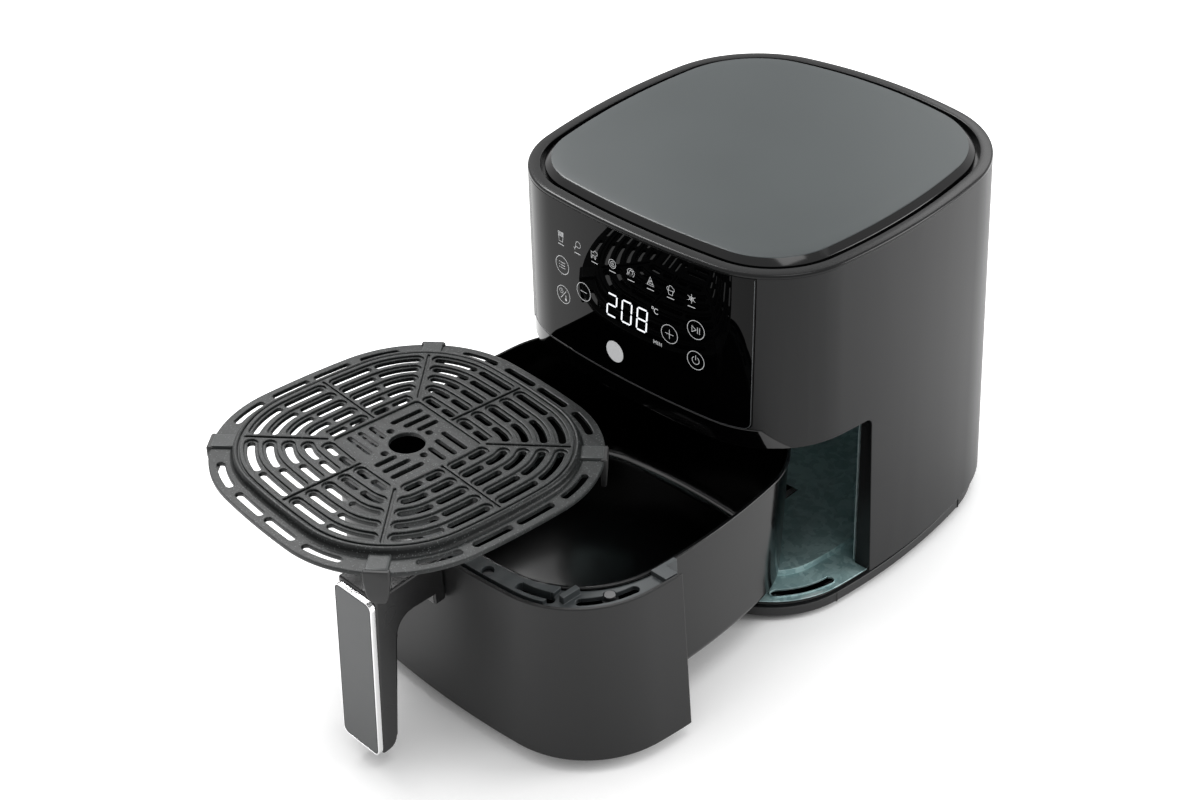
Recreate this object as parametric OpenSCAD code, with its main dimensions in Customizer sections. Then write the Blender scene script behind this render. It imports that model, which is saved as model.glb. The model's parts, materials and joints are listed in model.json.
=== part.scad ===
// Countertop air fryer: tapered rounded-square housing with a glass front panel,
// a drawer drawn out of its front and the crisper plate lifted out above it.
// Millimetres, +Z up, front towards -Y. Heights are measured from the table.

/* [Housing] */
// Half width of the housing at the top seam
body_half_w = 135; // [115:1:160]
// Front of the housing from its middle, at the top seam
body_front = 133.3; // [113:0.1:160]
// Back of the housing from its middle, at the top seam
body_back = 136.5; // [115:0.1:165]
// Bulge radius of the two sides
side_bulge_r = 453; // [380:1:700]
// Bulge radius of the front
front_bulge_r = 674; // [450:1:900]
// Bulge radius of the back
back_bulge_r = 327; // [300:1:700]
// Front corner radius
front_corner_r = 65.4; // [50:0.1:80]
// Back corner radius
back_corner_r = 82.6; // [60:0.1:95]
// Growth of the outline per millimetre going down
flare = 0.033; // [0:0.001:0.05]
// Height of the lower edge of the side shell
shell_base_z = 19; // [16:0.5:24]
// Height of the seam between the side shell and the top ring
seam_z = 272; // [262:0.5:330]
// Wall of the moulded shells
shell_wall = 2.6; // [2:0.1:3.4]
// Gap between neighbouring mouldings
fit_gap = 0.3; // [0.2:0.05:0.5]

/* [Top] */
// Width of the ring around the top disc
ring_w = 8.5; // [7:0.5:11]
// Height of the ring above the seam
ring_h = 2.5; // [2:0.1:4]
// Depth of the groove between ring and disc
groove_depth = 6; // [4:0.5:8]
// Width of the groove
groove_w = 3; // [2:0.5:5]
// Width of the bevel around the disc
bevel_w = 4.5; // [3:0.5:6]
// Height of the disc above the ring
disc_rise = 3; // [1:0.5:5]

/* [Front panel] */
// Half width of the glass panel
panel_half_w = 98; // [86:0.5:102]
// Height of the lower edge of the glass
panel_base_z = 161.5; // [155:0.5:170]
// Radius of the lower corners of the glass
panel_corner_r = 5; // [3:0.5:16]
// Thickness of the glass
glass_t = 2.3; // [1.8:0.1:2.5]
// Depth of the lip under the glass
lip_depth = 9; // [6:0.5:11]
// Sideways distance of the outer touch keys from the middle
key_x = 59; // [54:0.5:64]
// Sideways distance of the plus and minus keys from the middle
step_key_x = 38; // [34:0.5:42]
// Height of the middle of the key rows
key_z = 213.5; // [208:0.5:220]
// Vertical distance from the middle to the outer keys
key_step_z = 11.3; // [9:0.1:13]

/* [Opening and oven] */
// Height of the top of the drawer opening
opening_top_z = 147.5; // [140:0.5:156]
// How far behind the middle's front the opening's side jambs stand
jamb_y = -50; // [-60:1:-40]
// Radius of the upper corners of the opening
opening_corner_r = 5; // [3:0.5:8]
// Sheet thickness of the steel oven parts
sheet_t = 0.8; // [0.6:0.1:1.2]
// Height of the floor flange of the oven
flange_z = 18; // [17:0.5:19]
// How far the floor flange reaches in under the oven's side walls, at least
flange_lap = 8; // [4:0.5:12]
// Rise of the oven floor behind its flange
floor_rise = 3.6; // [2:0.1:5]
// Width of the floor flange
flange_w = 27; // [20:1:32]
// Inner radius of the heater dome
dome_r = 102; // [92:1:106]
// Height of the heater dome
dome_h = 45; // [40:1:52]
// Radius of the outer heating ring
heater_outer_r = 85; // [78:1:90]
// Radius of the inner heating ring
heater_inner_r = 60; // [50:1:68]
// Radius of the heating tube
heater_tube_r = 3.3; // [3:0.1:4]

/* [Drawer] */
// Half width of the pan at its rim
pan_half_w = 122; // [105:0.5:123]
// Front of the pan from the housing's middle, drawer shut
pan_front = 119; // [105:0.5:120]
// Back of the pan from the housing's middle, drawer shut
pan_back = 114; // [100:0.5:115]
// Height of the pan's rim, drawer shut
pan_rim_z = 142.6; // [136:0.1:144]
// Height of the pan's bottom, drawer shut
pan_base_z = 39.5; // [38:0.5:60]
// Wall of the pan
pan_wall = 1.5; // [1.2:0.1:2]
// Narrowing of the pan from rim to bottom
pan_draft = 5.5; // [3:0.5:8]
// Height of the top of the front shell, drawer shut
front_top_z = 145.2; // [140:0.1:146]
// Height of the bottom of the front shell, drawer shut
front_base_z = 22; // [20:0.5:30]
// How far the drawer is drawn out
drawer_out = 180; // [150:1:200]
// How far the drawer sinks while it is drawn out
drawer_drop = 11; // [8:0.5:12]

/* [Handle] */
// Width of the handle
handle_w = 35.4; // [28:0.2:42]
// Reach of the handle's top from the front shell
handle_reach = 57; // [50:0.5:66]
// Height of the handle's top, drawer shut
handle_top_z = 146.5; // [140:0.5:147]
// Height of the grip from top to bottom
grip_h = 121; // [100:1:122]
// Forward lean of the grip from top to bottom
grip_lean = 11.5; // [0:0.5:14]
// Thickness of the grip
grip_t = 16; // [13:0.5:20]
// Height of the arm between shell and grip
arm_h = 24; // [20:0.5:30]
// Thickness of the bright trim on the front of the grip
trim_t = 3.6; // [2:0.2:5]
// Width of the bright trim's border
trim_border = 2.2; // [1.5:0.1:3]

/* [Crisper plate] */
// Half width of the plate
plate_half_w = 112.5; // [98:0.5:114]
// Bulge radius of the plate's sides
plate_bulge_r = 560; // [400:5:900]
// Corner radius of the plate
plate_corner_r = 84; // [60:1:90]
// Thickness of the plate
plate_t = 3; // [2.5:0.1:4]
// Rise of the cooking field above the flange
field_rise = 4; // [2:0.5:6]
// Width of the flange around the field
plate_flange_w = 17; // [14:0.5:20]
// Height of the silicone feet under the flange
foot_h = 19; // [14:0.5:20]
// Height of the lifted plate above the table
plate_lift_z = 170; // [170:0.5:200]
// Sideways place of the lifted plate from the housing's middle
plate_x = -41; // [-60:1:0]
// How far in front of the housing's middle the lifted plate is held
plate_y = -290; // [-300:1:-280]
// Forward rise of the lifted plate, in degrees
plate_tilt = 3.8; // [0:0.1:5]
// Turn of the lifted plate about the vertical, in degrees
plate_turn = -3.5; // [-10:0.1:10]

/* [Place in the frame] */
// Sideways place of the housing's middle
stand_x = 7.9; // [0:0.1:40]
// How far back the housing's middle stands
stand_y = 128.4; // [100:0.1:160]

/* [Hidden] */
$fn = 180;
far = 400;
sliver = 0.02;

// An outline is [half width, front, back, side radius, front radius, back radius,
// front corner radius, back corner radius].
body = [body_half_w, body_front, body_back, side_bulge_r, front_bulge_r, back_bulge_r,
        front_corner_r, back_corner_r];
pan = [pan_half_w, pan_front, pan_back, 450, 500, 500, 68, 68];
liner_gap = 4.8;
liner = [for (i = [0:7]) i < 3 ? pan[i] + liner_gap : pan[i]];
plate = [plate_half_w, plate_half_w, plate_half_w, plate_bulge_r, plate_bulge_r, plate_bulge_r,
         plate_corner_r, plate_corner_r];

ring_top_z = seam_z + ring_h;
disc_top_z = ring_top_z + disc_rise;
groove_z = ring_top_z - groove_depth;
disc_inset = ring_w + groove_w;
floor_z = flange_z + sheet_t;
cook_floor_z = floor_z + floor_rise;
ceiling_z = opening_top_z + 2.5;
dome_top_z = ceiling_z + sheet_t + dome_h;
pad_t = 8;
deck_z = dome_top_z + pad_t + 2;
deck_t = 2.5;
deck_top_z = deck_z + deck_t;
lip_low_half_w = 119;
lip_high_half_w = 103;
bridge_z = deck_top_z + 13;
bridge_t = 2.5;
motor_h = 28;
motor_r = 29;
shaft_r = 4;
shaft_gap = 0.05;
oven_y = (pan_back - pan_front) / 2;
front_y = -body_front - (seam_z - opening_top_z) * flare;
handle_y = front_y - handle_reach;
slide_angle = atan(drawer_drop / drawer_out);
key_centres = [[-key_x, key_z + key_step_z], [-key_x, key_z - key_step_z], [-step_key_x, key_z],
               [step_key_x, key_z], [key_x, key_z + key_step_z], [key_x, key_z - key_step_z]];
switch_x = 97;
switch_y = -body_front + 20.8;
lever_len = 10;

// Growth of the housing's outline at a height
function spread(z) = (seam_z - z) * flare;
// Y of the housing's front and back faces at a place, moved in or out by grow
function front_at(x, z, grow) = front_bulge_r - body_front
    - sqrt(pow(front_bulge_r + spread(z) + grow, 2) - x * x);
function back_at(x, z, grow) = body_back - back_bulge_r
    + sqrt(pow(back_bulge_r + spread(z) + grow, 2) - x * x);
// Centre of the corner arc that touches a side arc and an end arc, for x and y over 0
function corner_at(half_w, reach, side_r, end_r, corner_r) =
    let (side = [half_w - side_r, 0], end = [0, reach - end_r],
         a = side_r - corner_r, b = end_r - corner_r,
         gap = norm(end - side), along = (end - side) / gap,
         k = (a * a - b * b + gap * gap) / (2 * gap), h = sqrt(a * a - k * k))
    side + along * k + [-along.y, along.x] * h;
// Reach of a circle's far side from the origin, in the direction d
function ray_out(centre, r, d) =
    let (s = centre * d) s + sqrt(s * s - centre * centre + r * r);
// Point of a grown even outline in the direction of an angle
function outline_point(o, grow, angle) =
    let (d = [abs(cos(angle)), abs(sin(angle))],
         side = [o[0] - o[3], 0], end = [0, o[1] - o[4]],
         c = corner_at(o[0], o[1], o[3], o[4], o[6]),
         t = min(ray_out(side, o[3] + grow, d), ray_out(end, o[4] + grow, d)),
         p = t * d - c,
         from_side = cross(c - side, p) > 0 && cross(p, c - end) > 0,
         reach = from_side ? ray_out(c, o[6] + grow, d) : t)
    [cos(angle), sin(angle)] * reach;

// Corner pieces stand this much inside the bulged faces, and reach this far into them
corner_step = 0.02;
corner_lap = 0.4;
// Sector of the plane that belongs to a corner arc, moved back by lap
module corner_wedge(c, side, end, length, lap = 0) {
    a = (c - side) / norm(c - side);
    b = (c - end) / norm(c - end);
    apex = c - (a + b) * lap;
    polygon([apex, apex + a * length, apex + (a + b) * length, apex + b * length]);
}

// Solid between two heights whose outline grows from grow_a to grow_b
module slab(o, za, zb, grow_a, grow_b) {
    side = [o[0] - o[3], 0];
    ends = [[0, o[1] - o[4]], [0, o[2] - o[5]]];
    corners = [corner_at(o[0], o[1], o[3], o[4], o[6]), corner_at(o[0], o[2], o[3], o[5], o[7])];
    module disc(p, r) translate([p.x, p.y, za]) cylinder(h = zb - za, r1 = r + grow_a, r2 = r + grow_b);
    module wedge(i, lap) translate([0, 0, za]) linear_extrude(zb - za)
        corner_wedge(corners[i], side, ends[i], 3 * o[6], lap);
    module each_corner() for (i = [0, 1], m = [0, 1])
        mirror([m, 0, 0]) mirror([0, 1 - i, 0]) children(i);
    difference() {
        intersection() {
            disc(side, o[3], $fn = 720);
            disc(-side, o[3], $fn = 720);
            disc([0, -ends[0].y], o[4], $fn = 720);
            disc(ends[1], o[5], $fn = 720);
        }
        each_corner() {
            wedge(0, 0);
            wedge(1, 0);
        }
    }
    each_corner() {
        intersection() {
            disc(corners[0], o[6] - corner_step);
            wedge(0, corner_lap);
        }
        intersection() {
            disc(corners[1], o[7] - corner_step);
            wedge(1, corner_lap);
        }
    }
}

// The housing's outline between two heights, moved in or out by grow
module body_slab(za, zb, grow) slab(body, za, zb, spread(za) + grow, spread(zb) + grow);
// A band of wall that follows the housing
module body_ring(za, zb, outer, inner) difference() {
    body_slab(za, zb, outer);
    body_slab(za - 1, zb + 1, inner);
}
module even_slab(o, za, zb, grow) slab(o, za, zb, grow, grow);
module even_ring(o, za, zb, outer, inner) difference() {
    even_slab(o, za, zb, outer);
    even_slab(o, za - 1, zb + 1, inner);
}
module block(low, high) translate(low) cube(high - low);
module rod(x, y, za, zb, r) translate([x, y, za]) cylinder(h = zb - za, r = r);
// A shape drawn in the X-Z plane and cut through the front or the back
module through_front() rotate([90, 0, 0]) linear_extrude(far) children();
module through_back() rotate([90, 0, 0]) translate([0, 0, -far]) linear_extrude(far) children();
module both_sides() {
    children();
    mirror([1, 0, 0]) children();
}
module in_housing() translate([stand_x, stand_y, 0]) children();
module in_drawer() in_housing() translate([0, -drawer_out, -drawer_drop]) children();
module in_plate() in_housing() translate([plate_x, plate_y, plate_lift_z])
    rotate([-plate_tilt, 0, plate_turn]) children();

module panel_outline(grow) {
    top = seam_z - fit_gap;
    translate([-panel_half_w - grow, panel_base_z + panel_corner_r])
        square([2 * (panel_half_w + grow), top - panel_base_z - panel_corner_r + grow]);
    translate([-panel_half_w + panel_corner_r, panel_base_z - grow])
        square([2 * (panel_half_w - panel_corner_r), panel_corner_r + grow + sliver]);
    for (s = [-1, 1]) translate([s * (panel_half_w - panel_corner_r), panel_base_z + panel_corner_r])
        circle(r = panel_corner_r + grow);
}
// Lip under the glass, with slanted ends
module lip_outline(grow) {
    low = lip_low_half_w + grow;
    high = lip_high_half_w + grow;
    low_z = opening_top_z - 1;
    polygon([[-low, low_z], [low, low_z], [high, panel_base_z], [-high, panel_base_z]]);
}
module opening_side_outline() {
    r = opening_corner_r;
    translate([-far, -far]) square([far + jamb_y - r, far + opening_top_z]);
    translate([-far, -far]) square([far + jamb_y, far + opening_top_z - r]);
    translate([jamb_y - r, opening_top_z - r]) circle(r = r);
}
module drawer_opening() translate([-far, 0, 0]) rotate([90, 0, 90])
    linear_extrude(2 * far) opening_side_outline();

grille_half_w = 50;
grille_low_z = 160;
grille_high_z = 232;
gland_x = 62;
gland_z = 40;
gland_r = 7;

module side_shell() color([0.13, 0.13, 0.14]) in_housing() {
    difference() {
        body_ring(shell_base_z, seam_z, 0, -shell_wall);
        drawer_opening();
        through_front() {
            panel_outline(fit_gap);
            lip_outline(fit_gap);
        }
        through_back() translate([-grille_half_w, grille_low_z])
            square([2 * grille_half_w, grille_high_z - grille_low_z]);
        translate([gland_x, 0, gland_z]) rotate([-90, 0, 0]) cylinder(h = far, r = gland_r);
    }
    // Returns that close the gap between shell and oven at the jambs
    both_sides() intersection() {
        body_slab(floor_z + fit_gap, opening_top_z - opening_corner_r, -shell_wall + sliver);
        block([liner[0] + sheet_t + fit_gap, jamb_y, 0], [far, jamb_y + 2.4, far]);
    }
}

module top_ring() color([0.1, 0.1, 0.11]) in_housing() {
    round_h = 1.3;
    difference() {
        union() {
            body_slab(seam_z, ring_top_z - round_h, 0);
            slab(body, ring_top_z - round_h, ring_top_z - 0.4, 0, -0.6);
            slab(body, ring_top_z - 0.4, ring_top_z, -0.6, -1.6);
        }
        body_slab(groove_z, far, -ring_w);
    }
    difference() {
        body_slab(groove_z - 2, seam_z, -ring_w + 1.5);
        body_slab(groove_z, far, -ring_w);
        body_slab(0, far, -disc_inset - bevel_w);
    }
    body_ring(seam_z - 9, seam_z, -shell_wall - fit_gap, -shell_wall - 2);
}

module top_disc() color([0.24, 0.25, 0.26]) in_housing() difference() {
    union() {
        body_slab(groove_z, ring_top_z - 1, -disc_inset);
        slab(body, ring_top_z - 1, disc_top_z, -disc_inset, -disc_inset - bevel_w);
    }
    body_slab(groove_z - 1, disc_top_z - 3, -disc_inset - bevel_w + 1.5);
}

module front_glass() color([0.02, 0.02, 0.025]) in_housing() difference() {
    body_ring(panel_base_z, seam_z - fit_gap, 0.15, -glass_t);
    block([-far, -body_front + 22, 0], [far, far, far]);
    through_front() difference() {
        square(2 * far, center = true);
        panel_outline(0);
    }
}

module front_lip() color([0.05, 0.05, 0.055]) in_housing() difference() {
    body_ring(opening_top_z, panel_base_z - fit_gap, -0.2, -lip_depth);
    block([-far, -body_front + 40, 0], [far, far, far]);
    // Notch around the door switch and its lever
    block([switch_x - 11, switch_y - 6, 0], [switch_x + 4, far, far]);
    through_front() difference() {
        square(2 * far, center = true);
        lip_outline(0);
    }
}

display_half_w = 24;
display_low_z = 200;
display_high_z = 230;
spring_r = 4;
module panel_frame() color([0.12, 0.12, 0.12]) in_housing() difference() {
    intersection() {
        body_ring(panel_base_z + 2, seam_z - 10, -shell_wall - fit_gap, frame_back);
        through_front() translate([-107, 0]) square([214, far]);
    }
    through_front() translate([-display_half_w - 1, display_low_z - 1])
        square([2 * display_half_w + 2, display_high_z - display_low_z + 2]);
    for (k = key_centres) translate([k.x, 0, k.y]) rotate([90, 0, 0]) cylinder(h = far, r = spring_r + 1);
}

frame_back = -shell_wall - 2.6;
board_y = -body_front + 10.5;
board_half_w = 76;
board_post_r = 3;
module display_board() color([0.1, 0.35, 0.18]) in_housing() {
    block([-board_half_w, board_y, 186], [board_half_w, board_y + 1.6, 258]);
    // Posts that carry the board on the panel frame
    for (x = [-70, 70], z = [190, 254]) {
        frame_y = front_at(abs(x) + board_post_r, z + board_post_r, frame_back);
        translate([x, board_y + sliver, z]) rotate([90, 0, 0])
            cylinder(h = board_y - frame_y - fit_gap, r = board_post_r);
    }
}
module display_module() color([0.85, 0.87, 0.9]) in_housing()
    block([-display_half_w, board_y - 7, display_low_z], [display_half_w, board_y, display_high_z]);
module touch_springs() color([0.8, 0.75, 0.55]) in_housing() for (k = key_centres) {
    glass_y = front_at(abs(k.x) + spring_r, k.y + spring_r, -glass_t);
    translate([k.x, board_y, k.y]) rotate([90, 0, 0])
        cylinder(h = board_y - glass_y - fit_gap, r = spring_r);
}

feet = [[82, -98], [-82, -98], [88, 88], [-88, 88]];
foot_r = 9;
tray_z = 3;
module base_tray() color([0.04, 0.04, 0.045]) in_housing() difference() {
    union() {
        slab(body, tray_z, 5, spread(5) - 6, spread(5) - 4);
        body_slab(5, 12, -4);
        body_slab(12, flange_z, -8);
    }
    body_slab(tray_z + 2.5, 11 + sliver, -9.5);
    body_slab(11, far, -11);
    for (p = feet) rod(p.x, p.y, 0, far, 3.7);
    for (i = [-5:5]) block([i * 11 - 3, -40, 0], [i * 11 + 3, 20, far]);
    for (p = base_screw_at) rod(p.x, p.y, 0, far, 1.8);
}
post_inset = 17;
base_screw_at = [[body_half_w + spread(flange_z) - post_inset, 0],
                 [-body_half_w - spread(flange_z) + post_inset, 0],
                 [0, back_at(0, flange_z, -post_inset)],
                 [0, front_at(0, flange_z, -post_inset)]];
module base_posts() color([0.05, 0.05, 0.055]) in_housing() for (p = base_screw_at) difference() {
    rod(p.x, p.y, tray_z + 2.5, flange_z, 5);
    rod(p.x, p.y, 0, flange_z - 2, 1.5);
}
module base_screws() color([0.6, 0.6, 0.62]) in_housing() for (p = base_screw_at) {
    rod(p.x, p.y, tray_z - 1.6, tray_z, 3.2);
    rod(p.x, p.y, tray_z - sliver, flange_z - 4, 1.45);
}
module rubber_feet() color([0.03, 0.03, 0.03]) in_housing() for (p = feet) {
    rod(p.x, p.y, 0, tray_z, foot_r);
    rod(p.x, p.y, tray_z - sliver, tray_z + 5, 3.4);
}

flange_inset = shell_wall + 0.5;
slot_w = 6;
// Angles between which the floor's two drain slots run
drain_slots = [[-46, -31], [-149, -134]];
module floor_slot(angle_a, angle_b, inset, za, zb, r) {
    mid = spread(za) - inset;
    intersection() {
        difference() {
            body_slab(za, zb, -inset + r);
            body_slab(za - 1, zb + 1, -inset - r);
        }
        translate([0, 0, za]) linear_extrude(zb - za)
            polygon([[0, 0], [cos(angle_a), sin(angle_a)] * far, [cos(angle_b), sin(angle_b)] * far]);
    }
    for (a = [angle_a, angle_b]) {
        p = outline_point(front_half, mid, a);
        rod(p.x, p.y, za, zb, r - corner_step);
    }
}
front_half = [body[0], body[1], body[1], body[3], body[4], body[4], body[6], body[6]];
module oven_floor() color([0.45, 0.55, 0.56]) in_housing() {
    step = max(flange_inset + flange_w, body_half_w + spread(flange_z) - liner[0] + flange_lap);
    riser = 1.5;
    slot_inset = flange_inset + 8;
    difference() {
        union() {
            body_slab(flange_z, floor_z, -flange_inset);
            // Raised rims around the drain slots
            for (s = drain_slots)
                floor_slot(s[0], s[1], slot_inset, floor_z - sliver, floor_z + 0.7, slot_w / 2 + 1);
        }
        for (s = drain_slots) floor_slot(s[0], s[1], slot_inset, 0, floor_z + 2, slot_w / 2);
        body_slab(0, far, -step);
    }
    difference() {
        slab(body, flange_z, cook_floor_z, spread(flange_z) - step + riser, spread(flange_z) - step);
        slab(body, flange_z - sliver, cook_floor_z - sheet_t, spread(flange_z) - step,
             spread(flange_z) - step - riser);
        block([-50, -57, 0], [50, -17, far]);
    }
}

module oven_liner() color([0.42, 0.5, 0.5]) in_housing() difference() {
    even_ring(liner, floor_z, ceiling_z, sheet_t, 0);
    block([-far, -far, 0], [far, jamb_y + 2.4, far]);
}

dome_port = dome_r - 3;
module oven_ceiling() color([0.5, 0.52, 0.52]) in_housing() difference() {
    body_slab(ceiling_z, ceiling_z + sheet_t, -lip_depth - fit_gap);
    rod(0, oven_y, 0, far, dome_port);
    block([switch_x - 4, switch_y + 2, 0], [switch_x + 4, switch_y + 20, far]);
}
module heater_dome() color([0.62, 0.63, 0.62]) in_housing() translate([0, oven_y, ceiling_z + sheet_t]) {
    difference() {
        union() {
            cylinder(h = dome_h, r = dome_r + sheet_t);
            cylinder(h = 1, r = dome_r + 8);
        }
        translate([0, 0, -1]) cylinder(h = dome_h + 1 - sheet_t, r = dome_r);
        cylinder(h = far, r = shaft_r + 3);
        for (x = [-heater_gap_half, heater_gap_half]) translate([x, heater_outer_r - 1, 0])
            cylinder(h = far, r = heater_tube_r + 1.2);
        translate([sensor_at.x, sensor_at.y, 0]) cylinder(h = far, r = 2.3);
    }
}
sensor_at = [-66, -66];
heater_gap_half = 12;
heater_z = ceiling_z + 22;
module heating_element() color([0.3, 0.3, 0.31]) in_housing() translate([0, oven_y, heater_z]) {
    turn = asin(heater_gap_half / heater_outer_r);
    lead_y = heater_outer_r * cos(turn);
    rotate([0, 0, 90 + turn]) rotate_extrude(angle = 360 - 2 * turn)
        translate([heater_outer_r, 0]) circle(r = heater_tube_r, $fn = 32);
    rotate_extrude() translate([heater_inner_r, 0]) circle(r = heater_tube_r, $fn = 32);
    translate([0, -heater_inner_r, 0]) rotate([90, 0, 0])
        cylinder(h = heater_outer_r - heater_inner_r, r = heater_tube_r - 1, $fn = 48);
    for (x = [-heater_gap_half, heater_gap_half]) translate([x, lead_y, -heater_tube_r - 0.5])
        cylinder(h = dome_top_z - heater_z + 8, r = heater_tube_r + 0.6, $fn = 48);
}
module element_clips() color([0.55, 0.55, 0.55]) in_housing() translate([0, oven_y, 0])
    for (a = [0, 120, 240])
    rotate([0, 0, a]) difference() {
        block([heater_outer_r - 6, -5, heater_z - 5], [dome_r - 0.2, 5, heater_z + 5]);
        translate([0, 0, heater_z]) rotate_extrude() translate([heater_outer_r, 0])
            circle(r = heater_tube_r + 0.1, $fn = 32);
    }
guard_z = ceiling_z + 9;
module element_guard() color([0.66, 0.67, 0.67]) in_housing() translate([0, oven_y, guard_z]) {
    for (r = [22, 42, 62, 82]) difference() {
        cylinder(h = 1.6, r = r + 1);
        translate([0, 0, -1]) cylinder(h = 4, r = r - 1);
    }
    for (a = [0:45:315]) rotate([0, 0, a]) block([22, -1, 0], [dome_r - 0.2, 1, 1.6]);
}

fan_z = heater_z + 12;
module hot_fan() color([0.72, 0.72, 0.7]) in_housing() translate([0, oven_y, fan_z]) difference() {
    union() {
        cylinder(h = 11, r = 10);
        cylinder(h = 1, r = 40);
        for (a = [0:40:320]) rotate([0, 0, a]) translate([38, 0, 5.5]) rotate([28, 0, 0])
            cube([62, 1.2, 9], center = true);
    }
    translate([0, 0, -1]) cylinder(h = 20, r = shaft_r + shaft_gap);
}
module fan_nut() color([0.6, 0.55, 0.35]) in_housing() translate([0, oven_y, fan_z - 5]) difference() {
    cylinder(h = 5 - fit_gap, r = 7, $fn = 6);
    cylinder(h = 20, r = shaft_r + shaft_gap);
}
module cooling_fan() color([0.12, 0.12, 0.13]) in_housing()
    translate([0, oven_y, deck_top_z + 1.5]) difference() {
    union() {
        cylinder(h = 9, r = 9);
        cylinder(h = 1.2, r = 30);
        for (a = [0:45:315]) rotate([0, 0, a]) translate([31, 0, 4.5]) rotate([20, 0, 0])
            cube([46, 1.2, 7], center = true);
    }
    translate([0, 0, -1]) cylinder(h = 20, r = shaft_r + shaft_gap);
}
module motor_shaft() color([0.75, 0.75, 0.77]) in_housing()
    rod(0, oven_y, fan_z - 7, bridge_z + bridge_t + motor_h + 5, shaft_r);
module motor_body() color([0.55, 0.56, 0.58]) in_housing()
    translate([0, oven_y, bridge_z + bridge_t]) difference() {
    union() {
        cylinder(h = motor_h, r = motor_r);
        cylinder(h = motor_h + 3, r = 12);
    }
    translate([0, 0, -1]) cylinder(h = far, r = shaft_r + 0.06);
}
module motor_bridge() color([0.7, 0.7, 0.72]) in_housing() translate([0, oven_y, 0]) difference() {
    union() {
        block([-18, -82, bridge_z], [18, 82, bridge_z + bridge_t]);
        for (y = [-74, 74]) rod(0, y, deck_top_z, bridge_z + sliver, 6);
    }
    rod(0, 0, 0, far, 14);
    for (x = [-12, 12], y = [-20, 20]) rod(x, y, 0, far, 1.7);
}
module motor_screws() color([0.6, 0.6, 0.62]) in_housing() translate([0, oven_y, 0])
    for (x = [-12, 12], y = [-20, 20]) rod(x, y, bridge_z - 2, bridge_z, 3);
module insulation_pad() color([0.8, 0.78, 0.7]) in_housing() translate([0, oven_y, 0]) difference() {
    rod(0, 0, dome_top_z, dome_top_z + pad_t, 74);
    rod(0, 0, 0, far, 16);
}
// Posts that carry the deck stand inside the oven's walls by these distances
deck_post_side = 29.8;
deck_post_front = 39.8;
deck_post_back = 34.8;
deck_post_at = [for (s = [-1, 1], y = [deck_post_front - liner[1], liner[2] - deck_post_back])
    [s * (liner[0] - deck_post_side), y]];
module inner_deck() color([0.09, 0.09, 0.1]) in_housing() difference() {
    union() {
        body_slab(deck_z, deck_top_z, -shell_wall - fit_gap - 2.8);
        for (p = deck_post_at) rod(p.x, p.y, ceiling_z + sheet_t, deck_z + sliver, 6);
        // Walls that guide the cooling air
        translate([0, oven_y, 0]) difference() {
            rod(0, 0, deck_top_z - sliver, deck_top_z + 8, 62);
            rod(0, 0, 0, far, 60);
            block([-9, -far, 0], [9, far, far]);
        }
    }
    block([-board_half_w - 6, -far, 0], [board_half_w + 6, board_y + 4, far]);
    rod(0, oven_y, 0, far, 14);
    for (a = [0:30:330]) translate([0, oven_y, 0]) rotate([0, 0, a]) rod(40, 0, 0, far, 6);
    for (p = deck_post_at) rod(p.x, p.y, 0, deck_z - 5, 1.5);
}
module deck_screws() color([0.6, 0.6, 0.62]) in_housing() for (p = deck_post_at) {
    rod(p.x, p.y, ceiling_z - 1.5, ceiling_z, 3);
}
module thermostat() color([0.75, 0.72, 0.62]) in_housing() {
    rod(-58, 62, dome_top_z, dome_top_z + 7, 8);
    block([-70, 60, dome_top_z], [-46, 64, dome_top_z + 0.8]);
}
module temperature_sensor() color([0.7, 0.7, 0.72]) in_housing() translate([0, oven_y, 0]) {
    rod(sensor_at.x, sensor_at.y, ceiling_z + 14, dome_top_z + 8, 2);
    rod(sensor_at.x, sensor_at.y, dome_top_z, dome_top_z + 3, 5);
}
module thermal_fuse() color([0.8, 0.8, 0.75]) in_housing() {
    translate([50, 66, dome_top_z + 2.6]) rotate([0, 90, 0]) cylinder(h = 16, r = 2.6);
    block([56, 60, dome_top_z], [60, 64, dome_top_z + 4]);
}
module exhaust_duct() color([0.08, 0.08, 0.09]) in_housing() difference() {
    block([-46, 106, 164], [46, far, 200]);
    block([-44, 0, 166], [44, far, 198]);
    difference() {
        block([-far, 0, 0], [far, far, far]);
        body_slab(100, 260, -shell_wall - fit_gap);
    }
}
module back_grille() color([0.07, 0.07, 0.075]) in_housing() difference() {
    body_ring(grille_low_z + fit_gap, grille_high_z - fit_gap, 0, -shell_wall);
    block([-far, -far, 0], [far, 60, far]);
    both_sides() block([grille_half_w - fit_gap, -far, 0], [far, far, far]);
    for (z = [grille_low_z + 6 : 7 : grille_high_z - 8]) through_back() {
        translate([-40, z]) square([80, 3.6]);
        for (s = [-1, 1]) translate([s * 40, z + 1.8]) circle(r = 1.8);
    }
}
module cord_gland() color([0.03, 0.03, 0.03]) in_housing() {
    collar_r = gland_r + 2;
    collar_t = 1.5;
    back_y = back_at(gland_x + collar_r, gland_z + collar_r, -shell_wall) - collar_t;
    translate([gland_x, back_y, gland_z]) rotate([-90, 0, 0]) difference() {
        union() {
            cylinder(h = 11, r = gland_r - 0.2);
            cylinder(h = collar_t, r = collar_r);
        }
        translate([0, 0, -1]) cylinder(h = 20, r = 3.6);
    }
}

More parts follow.
